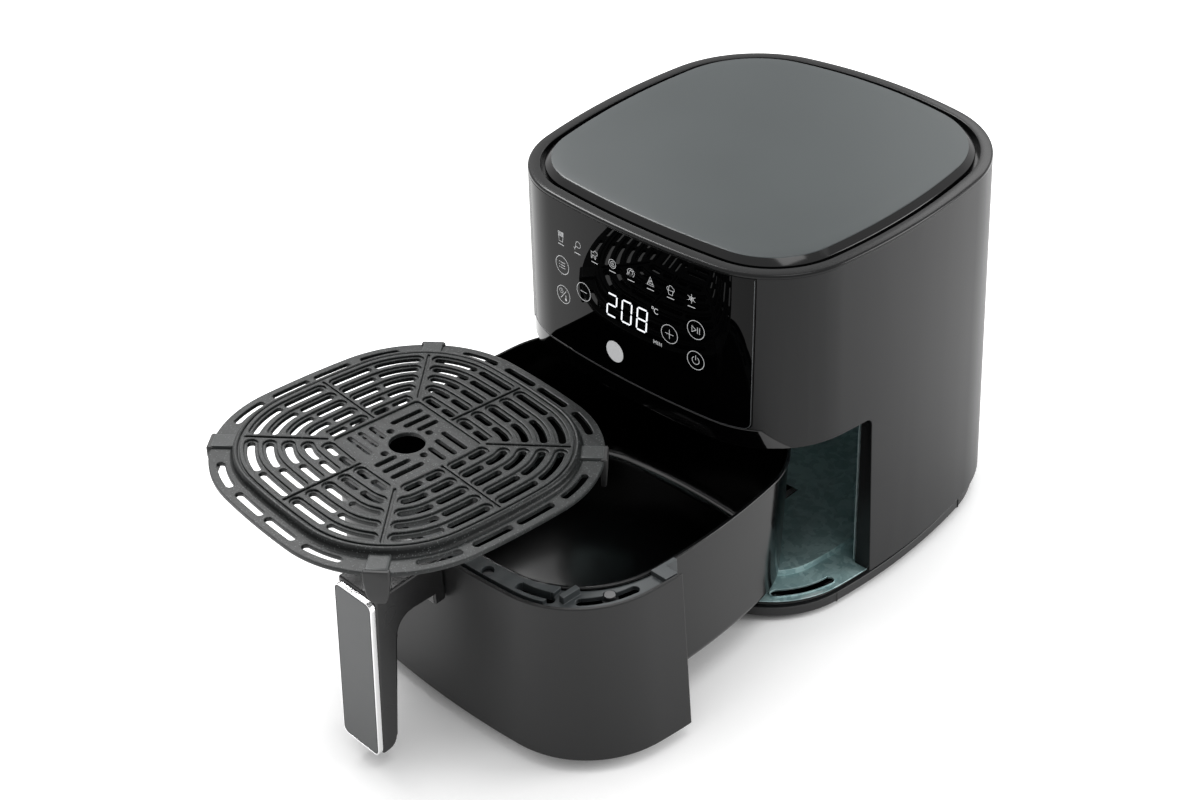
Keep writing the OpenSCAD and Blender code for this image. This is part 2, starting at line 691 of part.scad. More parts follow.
board_at = [68, -46];
module power_board() color([0.15, 0.4, 0.2]) in_housing() {
    block([board_at.x, board_at.y, deck_top_z + 5], [board_at.x + 46, board_at.y + 96, deck_top_z + 6.6]);
    for (x = [5, 41], y = [5, 91])
        rod(board_at.x + x, board_at.y + y, deck_top_z, deck_top_z + 5 + sliver, 3);
}
module relay() color([0.1, 0.2, 0.5]) in_housing()
    translate([board_at.x + 14, board_at.y + 14, deck_top_z + 6.6]) cube([19, 15, 16]);
module transformer() color([0.75, 0.65, 0.2]) in_housing()
    translate([board_at.x + 12, board_at.y + 38, deck_top_z + 6.6]) cube([22, 20, 18]);
module filter_capacitor() color([0.1, 0.1, 0.3]) in_housing()
    rod(board_at.x + 22, board_at.y + 76, deck_top_z + 6.6, deck_top_z + 26, 7);

module door_switch() color([0.08, 0.08, 0.09]) in_housing() {
    low = ceiling_z + sheet_t;
    block([switch_x - 10, switch_y - 5, low], [switch_x - 3.4, switch_y + 15, low + 11]);
    translate([switch_x - 3.4 - sliver, switch_y, low + 3]) rotate([0, 90, 0]) cylinder(h = 7, r = 1.2);
}
lever_tip_z = opening_top_z - 0.9;
module switch_lever() color([0.75, 0.75, 0.76]) in_housing() {
    low = ceiling_z + sheet_t;
    translate([switch_x - 2.6, switch_y, low + 3]) rotate([0, 90, 0]) difference() {
        cylinder(h = 5, r = 2.2);
        translate([0, 0, -1]) cylinder(h = 10, r = 1.25);
    }
    block([switch_x - 2.6, switch_y + 1.6, low + 2.5], [switch_x + 2.4, switch_y + lever_len, low + 3.3]);
    tip_y = switch_y + lever_len;
    block([switch_x - 2.6, tip_y - 1, lever_tip_z], [switch_x + 2.4, tip_y, low + 3]);
}

module pan_shell() color([0.16, 0.16, 0.17]) in_drawer() {
    fillet = 7;
    bead = 1.6;
    inside = -pan_draft - pan_wall;
    difference() {
        union() {
            slab(pan, pan_base_z + fillet, pan_rim_z, -pan_draft, 0);
            slab(pan, pan_base_z + 2, pan_base_z + fillet, -pan_draft - 2.4, -pan_draft);
            slab(pan, pan_base_z, pan_base_z + 2, -pan_draft - fillet, -pan_draft - 2.4);
            even_slab(pan, pan_rim_z - bead, pan_rim_z, 1);
        }
        slab(pan, pan_base_z + fillet, pan_rim_z + sliver, inside, -pan_wall);
        slab(pan, pan_base_z + 2.8, pan_base_z + fillet + sliver, inside - 2.4, inside);
        slab(pan, pan_base_z + pan_wall, pan_base_z + 2.8 + sliver, -pan_draft - fillet - 1, inside - 2.4);
    }
}

front_cut_y = jamb_y - 1.2;
module front_shell() color([0.12, 0.12, 0.13]) in_drawer() difference() {
    body_ring(front_base_z, front_top_z, 0, -shell_wall);
    block([-far, front_cut_y, 0], [far, far, far]);
    for (x = [-9, 9]) translate([x, 0, handle_screw_z]) rotate([90, 0, 0]) cylinder(h = far, r = 2.2);
}
handle_screw_z = handle_top_z - 13;

bracket_z = 137.5;
bracket_t = 3.2;
bracket_raise = 3.2;
bracket_end_y = -43;
module crescent(za, zb, inset) difference() {
    body_slab(za, zb, -inset);
    even_slab(pan, za - 1, zb + 1, 1.2);
    block([-far, bracket_end_y, 0], [far, far, far]);
    // Ends that reach in between the oven's side walls
    difference() {
        block([-far, front_cut_y - 0.5, 0], [far, far, far]);
        even_slab(liner, za - 1, zb + 1, -0.8);
    }
}
bracket_screw_at = [[45, -125.5], [-45, -125.5], [113, -90], [-113, -90]];
module front_bracket() color([0.3, 0.32, 0.33]) in_drawer() difference() {
    union() {
        crescent(bracket_z, bracket_z + bracket_t, shell_wall + 0.2);
        // Raised middle, out to the steps beside the handle
        intersection() {
            crescent(bracket_z, bracket_z + bracket_t + bracket_raise, 6);
            linear_extrude(far) for (m = [0, 1]) mirror([m, 0])
                polygon([[-1, -99], [81, -99], [89, -107], [90, -118], [72, -far], [-1, -far]]);
        }
        both_sides() {
            intersection() {
                crescent(bracket_z - 8, 144.4, shell_wall + 1);
                block([108, -61, 0], [far, far, far]);
            }
            // Rib that meets the door switch
            translate([switch_x, -107.5, 0]) rotate([0, 0, -4])
                block([-2, -6.5, bracket_z], [2, 6.5, switch_rib_z]);
        }
    }
    both_sides() for (s = [[-60, -52.5], [-45.5, -32.5]])
        floor_slot(s[0], s[1], 12, bracket_z - 1, bracket_z + 12, 3.1);
    for (p = bracket_screw_at) {
        rod(p.x, p.y, 0, far, 1.8);
        rod(p.x, p.y, bracket_z + bracket_t - 1.5, far, 4);
    }
}
switch_rib_z = 145.8;
module bracket_screws() color([0.35, 0.35, 0.36]) in_drawer() for (p = bracket_screw_at) {
    rod(p.x, p.y, bracket_z + bracket_t - 1.5, bracket_z + bracket_t + 0.4, 3.4);
    rod(p.x, p.y, bracket_z - 7, bracket_z + bracket_t - 1.5 + sliver, 1.5);
}
module pan_lugs() color([0.16, 0.16, 0.17]) in_drawer() for (p = bracket_screw_at) difference() {
    intersection() {
        rod(p.x, p.y, bracket_z - 10, bracket_z, 5.2);
        difference() {
            body_slab(100, 145, -shell_wall - 0.3);
            even_slab(pan, 100, 145, 0.3);
        }
    }
    rod(p.x, p.y, 0, far, 1.8);
}

// Rear skids of the pan, which end a running gap over the oven's floor
module pan_skids() color([0.05, 0.05, 0.05]) in_drawer() for (s = [-1, 1]) {
    back_y = pan_back - pan_draft - 16;
    block([s * 60 - 9, back_y - 14, cook_floor_z + drawer_drop + fit_gap], [s * 60 + 9, back_y, pan_base_z]);
}

// Side view of the handle, as Y along the first axis and Z along the second
module handle_outline() {
    back_y = handle_y + grip_t;
    low_z = handle_top_z - grip_h;
    bend_r = 14;
    end_r = grip_t / 2;
    arm_z = handle_top_z - arm_h;
    hook_z = arm_z - 9;
    hook_y = front_at(0, arm_z, fit_gap) - 9;
    difference() {
        union() {
            polygon([[front_at(0, handle_top_z, fit_gap), handle_top_z],
                     [handle_y + 3, handle_top_z], [handle_y, handle_top_z - 3],
                     [handle_y - grip_lean, low_z + 3], [handle_y - grip_lean + 3, low_z],
                     [handle_y - grip_lean + end_r, low_z], [back_y - grip_lean * 0.93, low_z + end_r],
                     [back_y, arm_z - bend_r], [back_y + bend_r, arm_z], [hook_y, arm_z - 1],
                     [hook_y, hook_z], [front_at(0, hook_z, fit_gap), hook_z]]);
            translate([handle_y - grip_lean + end_r, low_z + end_r]) circle(r = end_r);
        }
        translate([back_y + bend_r + 0.4, arm_z - bend_r]) circle(r = bend_r);
    }
}
module along_x(width) translate([-width / 2, 0, 0]) rotate([90, 0, 90]) linear_extrude(width) children();
// Band along the front of the grip, from depth a to depth b behind its front face
module grip_front(a, b, side_inset, end_inset) {
    low_z = handle_top_z - grip_h + end_inset;
    high_z = handle_top_z - 2 - end_inset;
    slope = grip_lean / (grip_h - 6);
    top_y = handle_y - (handle_top_z - 3 - high_z) * slope;
    low_y = handle_y - (handle_top_z - 3 - low_z) * slope;
    along_x(handle_w - 2 * side_inset)
        polygon([[top_y + a, high_z], [low_y + a, low_z], [low_y + b, low_z], [top_y + b, high_z]]);
}
module handle_body() color([0.05, 0.05, 0.055]) in_drawer() difference() {
    along_x(handle_w) handle_outline();
    grip_front(-20, trim_t + 0.2, -1, -10);
    for (x = [-9, 9]) translate([x, front_y + 1, handle_screw_z]) rotate([90, 0, 0])
        cylinder(h = 16, r = 1.6);
}
module handle_trim() color([0.85, 0.85, 0.86]) in_drawer() difference() {
    grip_front(0, trim_t, 0, 0);
    grip_front(-2, 2.2, trim_border, trim_border);
}
module handle_insert() color([0.35, 0.36, 0.37]) in_drawer()
    grip_front(0.3, 2, trim_border + 0.4, trim_border + 0.4);
module handle_screws() color([0.6, 0.6, 0.62]) in_drawer() for (x = [-9, 9])
    translate([x, front_y + shell_wall + 2, handle_screw_z]) rotate([90, 0, 0]) {
        cylinder(h = 2 - 0.05, r = 3.6);
        cylinder(h = 14, r = 1.5);
    }

field_inset = plate_flange_w;
spoke_half = 3.2;
row_pitch = 11.6;
rows = 5;
core_half = 33;
// A rounded slot that follows the plate's outline between two angles
module plate_slot(inset, half_w, angle_a, angle_b) {
    intersection() {
        difference() {
            plate_outline(-inset + half_w);
            plate_outline(-inset - half_w);
        }
        polygon([[0, 0], [cos(angle_a), sin(angle_a)] * far, [cos(angle_b), sin(angle_b)] * far]);
    }
    for (a = [angle_a, angle_b]) translate(outline_point(plate, -inset, a))
        circle(r = half_w - corner_step, $fn = 32);
}
module plate_outline(grow) {
    side = [plate[0] - plate[3], 0];
    end = [0, plate[1] - plate[4]];
    c = corner_at(plate[0], plate[1], plate[3], plate[4], plate[6]);
    difference() {
        intersection() {
            for (m = [-1, 1]) intersection() {
                translate(side * m) circle(r = plate[3] + grow, $fn = 720);
                translate(-side * m) circle(r = plate[3] + grow, $fn = 720);
            }
            intersection() {
                translate(end) circle(r = plate[4] + grow, $fn = 720);
                translate(-end) circle(r = plate[4] + grow, $fn = 720);
            }
        }
        for (m = [0, 1], n = [0, 1]) mirror([m, 0]) mirror([0, n]) corner_wedge(c, side, end, 200);
    }
    for (m = [0, 1], n = [0, 1]) mirror([m, 0]) mirror([0, n]) intersection() {
        translate(c) circle(r = plate[6] + grow - corner_step);
        corner_wedge(c, side, end, 200, corner_lap);
    }
}
module crisper_plate() color([0.22, 0.23, 0.23]) in_plate() {
    // Flange with four slots on each side
    linear_extrude(plate_t) difference() {
        plate_outline(0);
        plate_outline(-field_inset - 1);
        for (q = [0:90:270]) for (s = [[-33, -21.5], [-15, -2.5], [2.5, 15], [21.5, 33]])
            plate_slot(7.5, 2.4, q + s[0], q + s[1]);
    }
    // Cooking field, raised above the flange
    linear_extrude(plate_t + field_rise) difference() {
        plate_outline(-field_inset + 2);
        plate_outline(-field_inset - 3);
    }
    translate([0, 0, field_rise]) linear_extrude(plate_t) difference() {
        plate_outline(-field_inset - 1);
        for (i = [0:rows - 1], q = [0:45:315]) field_slots(field_inset + 9.5 + i * row_pitch, q);
        for (x = [-1, 1], y = [-1, 1]) translate([x, y] * 17) circle(r = 2.4);
        for (q = [0:90:270], k = [-1:1]) rotate(q) translate([core_half - 11.5, k * 7])
            core_slot(k == 0 ? 5 : 4);
        circle(r = 11.5);
    }
    // Ribs between the rows of slots
    translate([0, 0, plate_t + field_rise - sliver]) linear_extrude(1.4) for (i = [0:rows - 1]) difference() {
        mid = field_inset + 3.7 + i * row_pitch;
        plate_outline(-mid + 1.2);
        plate_outline(-mid - 1.2);
        for (q = [0:45:135]) rotate(q) square([far, 2 * spoke_half], center = true);
    }
    translate([0, 0, plate_t + field_rise - sliver]) linear_extrude(1.2) difference() {
        square(2 * core_half + 2, center = true);
        square(2 * core_half - 1, center = true);
        for (q = [0:45:135]) rotate(q) square([far, 2 * spoke_half], center = true);
    }
}
module core_slot(half_len) {
    square([3.4, 2 * half_len], center = true);
    for (s = [-1, 1]) translate([0, s * half_len]) circle(r = 1.7, $fn = 24);
}
// The two slots of one row in one eighth of the field
module field_slots(inset, q) {
    d = norm(outline_point(plate, -inset, q + 22.5));
    edge = asin((spoke_half + 3.4) / d);
    mid = asin(3.6 / d);
    plate_slot(inset, 2.3, q + edge, q + 22.5 - mid);
    plate_slot(inset, 2.3, q + 22.5 + mid, q + 45 - edge);
}
module plate_feet() color([0.1, 0.1, 0.1]) in_plate() for (q = [45:90:315]) {
    corner = norm(outline_point(plate, 0, q));
    rotate(q) difference() {
        union() {
            block([corner - 9, -11, -1.6], [corner + 2, 11, plate_t + 1.2]);
            hull() {
                block([corner - 5, -11, -1.6], [corner + 2, 11, 0]);
                block([corner - 3, -9, -foot_h], [corner + 1, 9, -foot_h + 2]);
            }
        }
        block([0, -6, -sliver], [corner + 0.05, 6, plate_t + sliver]);
        difference() {
            block([0, -far, 0], [corner + 5, far, plate_t]);
            translate([0, 0, -0.5]) linear_extrude(plate_t + 1) rotate(-q) difference() {
                square(far, center = true);
                plate_outline(0.05);
            }
        }
    }
}

side_shell();
top_ring();
top_disc();
front_glass();
front_lip();
panel_frame();
display_board();
display_module();
touch_springs();
base_tray();
base_posts();
base_screws();
rubber_feet();
oven_floor();
oven_liner();
oven_ceiling();
heater_dome();
heating_element();
element_clips();
element_guard();
hot_fan();
fan_nut();
cooling_fan();
motor_shaft();
motor_body();
motor_bridge();
motor_screws();
insulation_pad();
inner_deck();
deck_screws();
thermostat();
temperature_sensor();
thermal_fuse();
exhaust_duct();
back_grille();
cord_gland();
power_board();
relay();
transformer();
filter_capacitor();
door_switch();
switch_lever();
pan_shell();
front_shell();
front_bracket();
bracket_screws();
pan_lugs();
pan_skids();
handle_body();
handle_trim();
handle_insert();
handle_screws();
crisper_plate();
plate_feet();
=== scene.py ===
"""Looks of a countertop air fryer: housing, glass touch panel, oven, drawer and crisper plate.

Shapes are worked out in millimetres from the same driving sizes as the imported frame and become
metres when a mesh is made. Every piece rides on the body of the node that it stands for.
"""

import json
import logging
import math
from dataclasses import dataclass
from enum import Enum
from functools import lru_cache
from typing import Callable, Iterable, Sequence

import bmesh
import bpy
from mathutils import Matrix, Vector

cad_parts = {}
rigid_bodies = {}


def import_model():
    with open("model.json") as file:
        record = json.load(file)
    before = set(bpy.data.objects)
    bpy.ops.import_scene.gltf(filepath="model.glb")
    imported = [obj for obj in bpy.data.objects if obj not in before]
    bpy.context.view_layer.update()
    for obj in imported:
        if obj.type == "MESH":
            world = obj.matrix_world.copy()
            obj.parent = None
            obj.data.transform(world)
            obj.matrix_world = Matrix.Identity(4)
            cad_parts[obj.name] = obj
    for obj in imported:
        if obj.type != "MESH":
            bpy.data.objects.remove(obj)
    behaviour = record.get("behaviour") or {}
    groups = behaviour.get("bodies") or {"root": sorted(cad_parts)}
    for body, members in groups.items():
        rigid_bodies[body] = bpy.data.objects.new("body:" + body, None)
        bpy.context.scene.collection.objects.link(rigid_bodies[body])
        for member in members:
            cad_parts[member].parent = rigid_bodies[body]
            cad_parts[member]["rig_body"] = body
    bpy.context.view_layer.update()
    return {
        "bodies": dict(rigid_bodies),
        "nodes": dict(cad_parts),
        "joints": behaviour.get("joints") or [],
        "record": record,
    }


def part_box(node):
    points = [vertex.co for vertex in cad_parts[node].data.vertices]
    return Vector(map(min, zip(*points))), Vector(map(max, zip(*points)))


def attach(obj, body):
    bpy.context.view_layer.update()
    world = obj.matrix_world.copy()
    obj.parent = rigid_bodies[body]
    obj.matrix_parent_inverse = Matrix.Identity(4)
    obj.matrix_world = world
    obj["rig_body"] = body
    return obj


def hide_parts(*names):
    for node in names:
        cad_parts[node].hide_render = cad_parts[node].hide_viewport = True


LOG = logging.getLogger("air_fryer")
MM = 0.001
Point2 = tuple[float, float]
Point3 = tuple[float, float, float]
Loop2 = list[Point2]
Colour = tuple[float, float, float]

# Edges sharper than SHARP_DEG stay sharp in the shading. On a copied node, faces that meet flatter
# than FLAT_DEG become one, and edges sharper than ROUNDED_DEG are rounded. On the drawn glass, lip and
# drawer front, edges sharper than CREASE_DEG are.
SHARP_DEG = 35.0
FLAT_DEG = 0.5
ROUNDED_DEG = 32.0
CREASE_DEG = 50.0

# Points of a drawing that lie closer than this become one, in metres.
MERGE_M = 1e-6

# Directions from the middle of a piece, in degrees.
QUARTERS = (0, 90, 180, 270)
CORNERS = (45, 135, 225, 315)
EIGHTHS = range(0, 360, 45)
HALF_EIGHTH = 22.5


# --------------------------------------------------------------------------- shape helpers


@dataclass(frozen=True)
class Station:
    """A place on an outline that keeps its angle as the outline grows."""

    x: float
    y: float
    radius: float
    angle: float

    def at(self, grow: float) -> Point2:
        """Returns the point of this station on the outline grown by `grow`."""
        reach = self.radius + grow
        return self.x + reach * math.cos(self.angle), self.y + reach * math.sin(self.angle)

    def mirrored(self) -> "Station":
        """Returns the same station on the other side of the middle plane."""
        return Station(-self.x, self.y, self.radius, math.pi - self.angle)


@dataclass(frozen=True)
class Outline:
    """A rounded square with four bulged sides and four corner arcs, in millimetres.

    Attributes:
        half_w: Half width, from the middle to a side.
        front: Distance from the middle to the front.
        back: Distance from the middle to the back.
        side_r: Radius of the bulged sides.
        front_r: Radius of the bulged front.
        back_r: Radius of the bulged back.
        front_corner_r: Radius of the corners at the front.
        back_corner_r: Radius of the corners at the back.
    """

    half_w: float
    front: float
    back: float
    side_r: float
    front_r: float
    back_r: float
    front_corner_r: float
    back_corner_r: float

    def corner(self, back: bool) -> Vector:
        """Finds the centre of the right-hand corner arc.

        Args:
            back: True for the corner at the back.

        Returns:
            The centre in the X-Y plane.
        """
        if back:
            reach, end_r, corner_r = self.back, self.back_r, self.back_corner_r
        else:
            reach, end_r, corner_r = self.front, self.front_r, self.front_corner_r
        side = Vector((self.half_w - self.side_r, 0.0))
        end = Vector((0.0, reach - end_r))
        a, b = self.side_r - corner_r, end_r - corner_r
        gap = (end - side).length
        along = (end - side) / gap
        k = (a * a - b * b + gap * gap) / (2 * gap)
        centre = side + along * k + Vector((-along.y, along.x)) * math.sqrt(a * a - k * k)
        return centre if back else Vector((centre.x, -centre.y))

    def right_half(self, step: float) -> list[Station]:
        """Walks from the middle of the front over the right side to the middle of the back.

        Args:
            step: Longest distance between two stations.

        Returns:
            The stations in order.
        """
        front_c, back_c = self.corner(False), self.corner(True)
        side_x = self.half_w - self.side_r
        front_y, back_y = self.front_r - self.front, self.back - self.back_r
        a1 = math.atan2(front_c.y - front_y, front_c.x)
        a2 = math.atan2(front_c.y, front_c.x - side_x)
        a3 = math.atan2(back_c.y, back_c.x - side_x)
        a4 = math.atan2(back_c.y - back_y, back_c.x)
        arcs = (
            (0.0, front_y, self.front_r, -math.pi / 2, a1),
            (front_c.x, front_c.y, self.front_corner_r, a1, a2),
            (side_x, 0.0, self.side_r, a2, a3),
            (back_c.x, back_c.y, self.back_corner_r, a3, a4),
            (0.0, back_y, self.back_r, a4, math.pi / 2),
        )
        stations: list[Station] = []
        for x, y, radius, start, end in arcs:
            count = max(3, math.ceil(radius * (end - start) / step))
            stations += [Station(x, y, radius, start + (end - start) * i / count) for i in range(count)]
        last = arcs[-1]
        return stations + [Station(last[0], last[1], last[2], math.pi / 2)]

    def loop(self, step: float) -> list[Station]:
        """Returns the stations all the way round, without a repeated one."""
        half = self.right_half(step)
        return half + [s.mirrored() for s in reversed(half[1:-1])]

    def front_y(self, x: float, grow: float) -> float:
        """Returns Y of the front face at X, on the outline grown by `grow`."""
        centre = self.corner(False)
        flat_end = centre.x * self.front_r / (self.front_r - self.front_corner_r)
        if abs(x) <= flat_end:
            return self.front_r - self.front - math.sqrt((self.front_r + grow) ** 2 - x * x)
        reach = self.front_corner_r + grow
        return centre.y - math.sqrt(max(reach * reach - (abs(x) - centre.x) ** 2, 0.0))

    def side_x(self, y: float, grow: float) -> float:
        """Returns X of the right side's bulged face at Y, on the outline grown by `grow`."""
        return self.half_w - self.side_r + math.sqrt((self.side_r + grow) ** 2 - y * y)

    def toward(self, grow: float, angle_deg: float) -> Vector:
        """Finds a point of an outline with even ends by its direction from the middle.

        Args:
            grow: How far the outline has grown.
            angle_deg: Direction of the point.

        Returns:
            The point in the X-Y plane.
        """
        turn = math.radians(angle_deg)
        way = Vector((abs(math.cos(turn)), abs(math.sin(turn))))
        side, end = Vector((self.half_w - self.side_r, 0.0)), Vector((0.0, self.back - self.back_r))
        corner = self.corner(True)
        reach = min(far_side(side, self.side_r + grow, way), far_side(end, self.back_r + grow, way))
        place = way * reach - corner
        if (corner - side).cross(place) > 0 and place.cross(corner - end) > 0:
            reach = far_side(corner, self.back_corner_r + grow, way)
        return Vector((math.cos(turn), math.sin(turn))) * reach


def far_side(centre: Vector, radius: float, way: Vector) -> float:
    """Returns how far a circle's far side lies from the origin in a direction."""
    along = centre.dot(way)
    return along + math.sqrt(along * along - centre.length_squared + radius * radius)


class Draft:
    """Vertices and faces of a mesh that is being drawn, in millimetres."""

    def __init__(self) -> None:
        """Starts an empty mesh."""
        self.points: list[Point3] = []
        self.faces: list[tuple[int, ...]] = []

    def row(self, points: Iterable[Point3]) -> list[int]:
        """Adds points and returns their numbers."""
        start = len(self.points)
        self.points += list(points)
        return list(range(start, len(self.points)))

    def bridge(self, a: Sequence[int], b: Sequence[int], closed: bool) -> None:
        """Joins two rows of the same length with quads.

        Args:
            a: First row.
            b: Second row.
            closed: True when the rows run all the way round.
        """
        for i in range(len(a) if closed else len(a) - 1):
            j = (i + 1) % len(a)
            self.faces.append((a[i], a[j], b[j], b[i]))

    def grid(self, rows: Sequence[Sequence[int]], closed: bool = False, wrap: bool = False) -> None:
        """Joins each row to the next, and the last to the first when `wrap` is set."""
        for a, b in zip(rows, rows[1:]):
            self.bridge(a, b, closed)
        if wrap:
            self.bridge(rows[-1], rows[0], closed)

    def cap(self, row: Sequence[int], flip: bool = False) -> None:
        """Closes a row with one flat face."""
        self.faces.append(tuple(reversed(row)) if flip else tuple(row))

    def solid(self, rows: Sequence[Sequence[int]]) -> None:
        """Joins closed rows into a solid with a flat face at each end."""
        self.grid(rows, closed=True)
        self.cap(rows[0], flip=True)
        self.cap(rows[-1])

    def mesh(self, name: str, place: Matrix) -> bpy.types.Mesh:
        """Makes the mesh in metres.

        Args:
            name: Name of the mesh.
            place: Where the millimetre drawing stands, in metres.

        Returns:
            The mesh with consistent normals.
        """
        mesh = bpy.data.meshes.new(name)
        mesh.from_pydata(self.points, [], self.faces)
        mesh.transform(place @ Matrix.Scale(MM, 4))
        shell = bmesh.new()
        shell.from_mesh(mesh)
        bmesh.ops.remove_doubles(shell, verts=shell.verts, dist=MERGE_M)
        bmesh.ops.recalc_face_normals(shell, faces=shell.faces)
        shell.to_mesh(mesh)
        shell.free()
        return mesh


def placed(name: str, data: bpy.types.ID) -> bpy.types.Object:
    """Adds an object with the given data to the scene and returns it."""
    holder = bpy.data.objects.new(name, data)
    bpy.context.scene.collection.objects.link(holder)
    return holder


def soften(
    piece: bpy.types.Object, width_mm: float, segments: int, angle_deg: float, clamp: bool = True
) -> bpy.types.Object:
    """Rounds the sharp edges of a piece.

    Args:
        piece: The piece.
        width_mm: Width of the rounding.
        segments: Facets across it.
        angle_deg: Only edges sharper than this are rounded.
        clamp: True to narrow a rounding that would run into another.

    Returns:
        The same piece.
    """
    bevel = piece.modifiers.new("soft_edges", "BEVEL")
    bevel.width = width_mm * MM
    bevel.segments = segments
    bevel.limit_method = "ANGLE"
    bevel.angle_limit = math.radians(angle_deg)
    bevel.use_clamp_overlap = clamp
    return piece


def even_shading(piece: bpy.types.Object) -> bpy.types.Object:
    """Lets the large faces of a piece set its shading, so that flats stay flat beside rounded edges."""
    weighted = piece.modifiers.new("even_shading", "WEIGHTED_NORMAL")
    weighted.keep_sharp = True
    return piece


def swept(stations: Sequence[Station], profile: Sequence[Point2], closed_profile: bool) -> Draft:
    """Sweeps a profile round a closed outline.

    Args:
        stations: The outline all the way round.
        profile: Pairs of growth and height.
        closed_profile: True when the last pair joins the first.

    Returns:
        The drawing; open ends of the profile are closed with flat faces.
    """
    draft = Draft()
    rows = [draft.row((*s.at(grow), z) for s in stations) for grow, z in profile]
    if closed_profile:
        draft.grid(rows, closed=True, wrap=True)
    else:
        draft.solid(rows)
    return draft


def walled(outer: Sequence[Sequence[Point3]], inner: Sequence[Sequence[Point3]]) -> Draft:
    """Draws a wall between two open grids of points and closes its four edges.

    Args:
        outer: Rows of the outer face.
        inner: Rows of the inner face, as many and as long.

    Returns:
        The drawing.
    """
    draft = Draft()
    faces = [[draft.row(points) for points in rows] for rows in (outer, inner)]
    for rows in faces:
        draft.grid(rows)
    for end in (0, -1):
        draft.bridge(faces[0][end], faces[1][end], False)
        draft.bridge([row[end] for row in faces[0]], [row[end] for row in faces[1]], False)
    return draft


def arc(x: float, y: float, radius: float, start_deg: float, end_deg: float, steps: int = 8) -> Loop2:
    """Returns points along a circle's arc, both ends included."""
    turns = (math.radians(start_deg + (end_deg - start_deg) * i / steps) for i in range(steps + 1))
    return [(x + radius * math.cos(t), y + radius * math.sin(t)) for t in turns]


def rounded_box(x: Point2, y: Point2, radius: float, steps: int) -> Loop2:
    """Outlines a box with round corners.

    Args:
        x: Least and greatest X of the corners' centres.
        y: Least and greatest Y of the corners' centres.
        radius: Radius of the corners.
        steps: Facets in a corner.

    Returns:
        The closed outline.
    """
    centres = ((x[1], y[1]), (x[0], y[1]), (x[0], y[0]), (x[1], y[0]))
    return [
        point
        for quarter, centre in zip(QUARTERS, centres)
        for point in arc(*centre, radius, quarter, quarter + 90.0, steps)
    ]


def sheet_mesh(
    name: str, loops: Sequence[Loop2], low: float, high: float, edge: float, place: Matrix
) -> bpy.types.Mesh:
    """Makes a flat plate with holes and rounded edges.

    Args:
        name: Name of the mesh.
        loops: Outer outline and holes, in millimetres.
        low: Height of the underside.
        high: Height of the upper side.
        edge: Radius of its edges.
        place: Where the drawing stands, in metres.

    Returns:
        The mesh in metres, in the frame's own axes.
    """
    curve = bpy.data.curves.new(name, "CURVE")
    curve.dimensions = "2D"
    curve.fill_mode = "BOTH"
    curve.extrude = (high - low) / 2 - edge
    curve.bevel_depth = edge
    curve.bevel_resolution = 1
    curve.offset = -edge
    for loop in loops:
        spline = curve.splines.new("POLY")
        spline.points.add(len(loop) - 1)
        spline.points.foreach_set("co", [c for x, y in loop for c in (x, y, 0.0, 1.0)])
        spline.use_cyclic_u = True
    holder = placed(name, curve)
    bpy.context.view_layer.update()
    seen = holder.evaluated_get(bpy.context.evaluated_depsgraph_get())
    mesh = bpy.data.meshes.new_from_object(seen)
    bpy.data.objects.remove(holder)
    bpy.data.curves.remove(curve)
    mesh.name = name
    mesh.transform(place @ Matrix.Scale(MM, 4) @ Matrix.Translation((0.0, 0.0, (low + high) / 2)))
    return mesh


def joined(name: str, meshes: Sequence[bpy.types.Mesh]) -> bpy.types.Mesh:
    """Joins meshes into one and removes the parts.

    Args:
        name: Name of the new mesh.
        meshes: The parts, all in the frame's own axes.

    Returns:
        The joined mesh.
    """
    whole = bmesh.new()
    for mesh in meshes:
        whole.from_mesh(mesh)
        bpy.data.meshes.remove(mesh)
    result = bpy.data.meshes.new(name)
    whole.to_mesh(result)
    whole.free()
    return result


# --------------------------------------------------------------------------- finishes


# Index of refraction of every finish.
GLOSS_IOR = 1.5

# Under flecks the ground drifts up to this many times its own colour. A fleck fills the core of its
# cell, up to this distance from the cell's middle.
FLECK_GROUND = 1.3
FLECK_CORE = 0.36

# Part of a zinc sheet's tone that comes from its rolling marks.
ROLLING_SHARE = 0.4


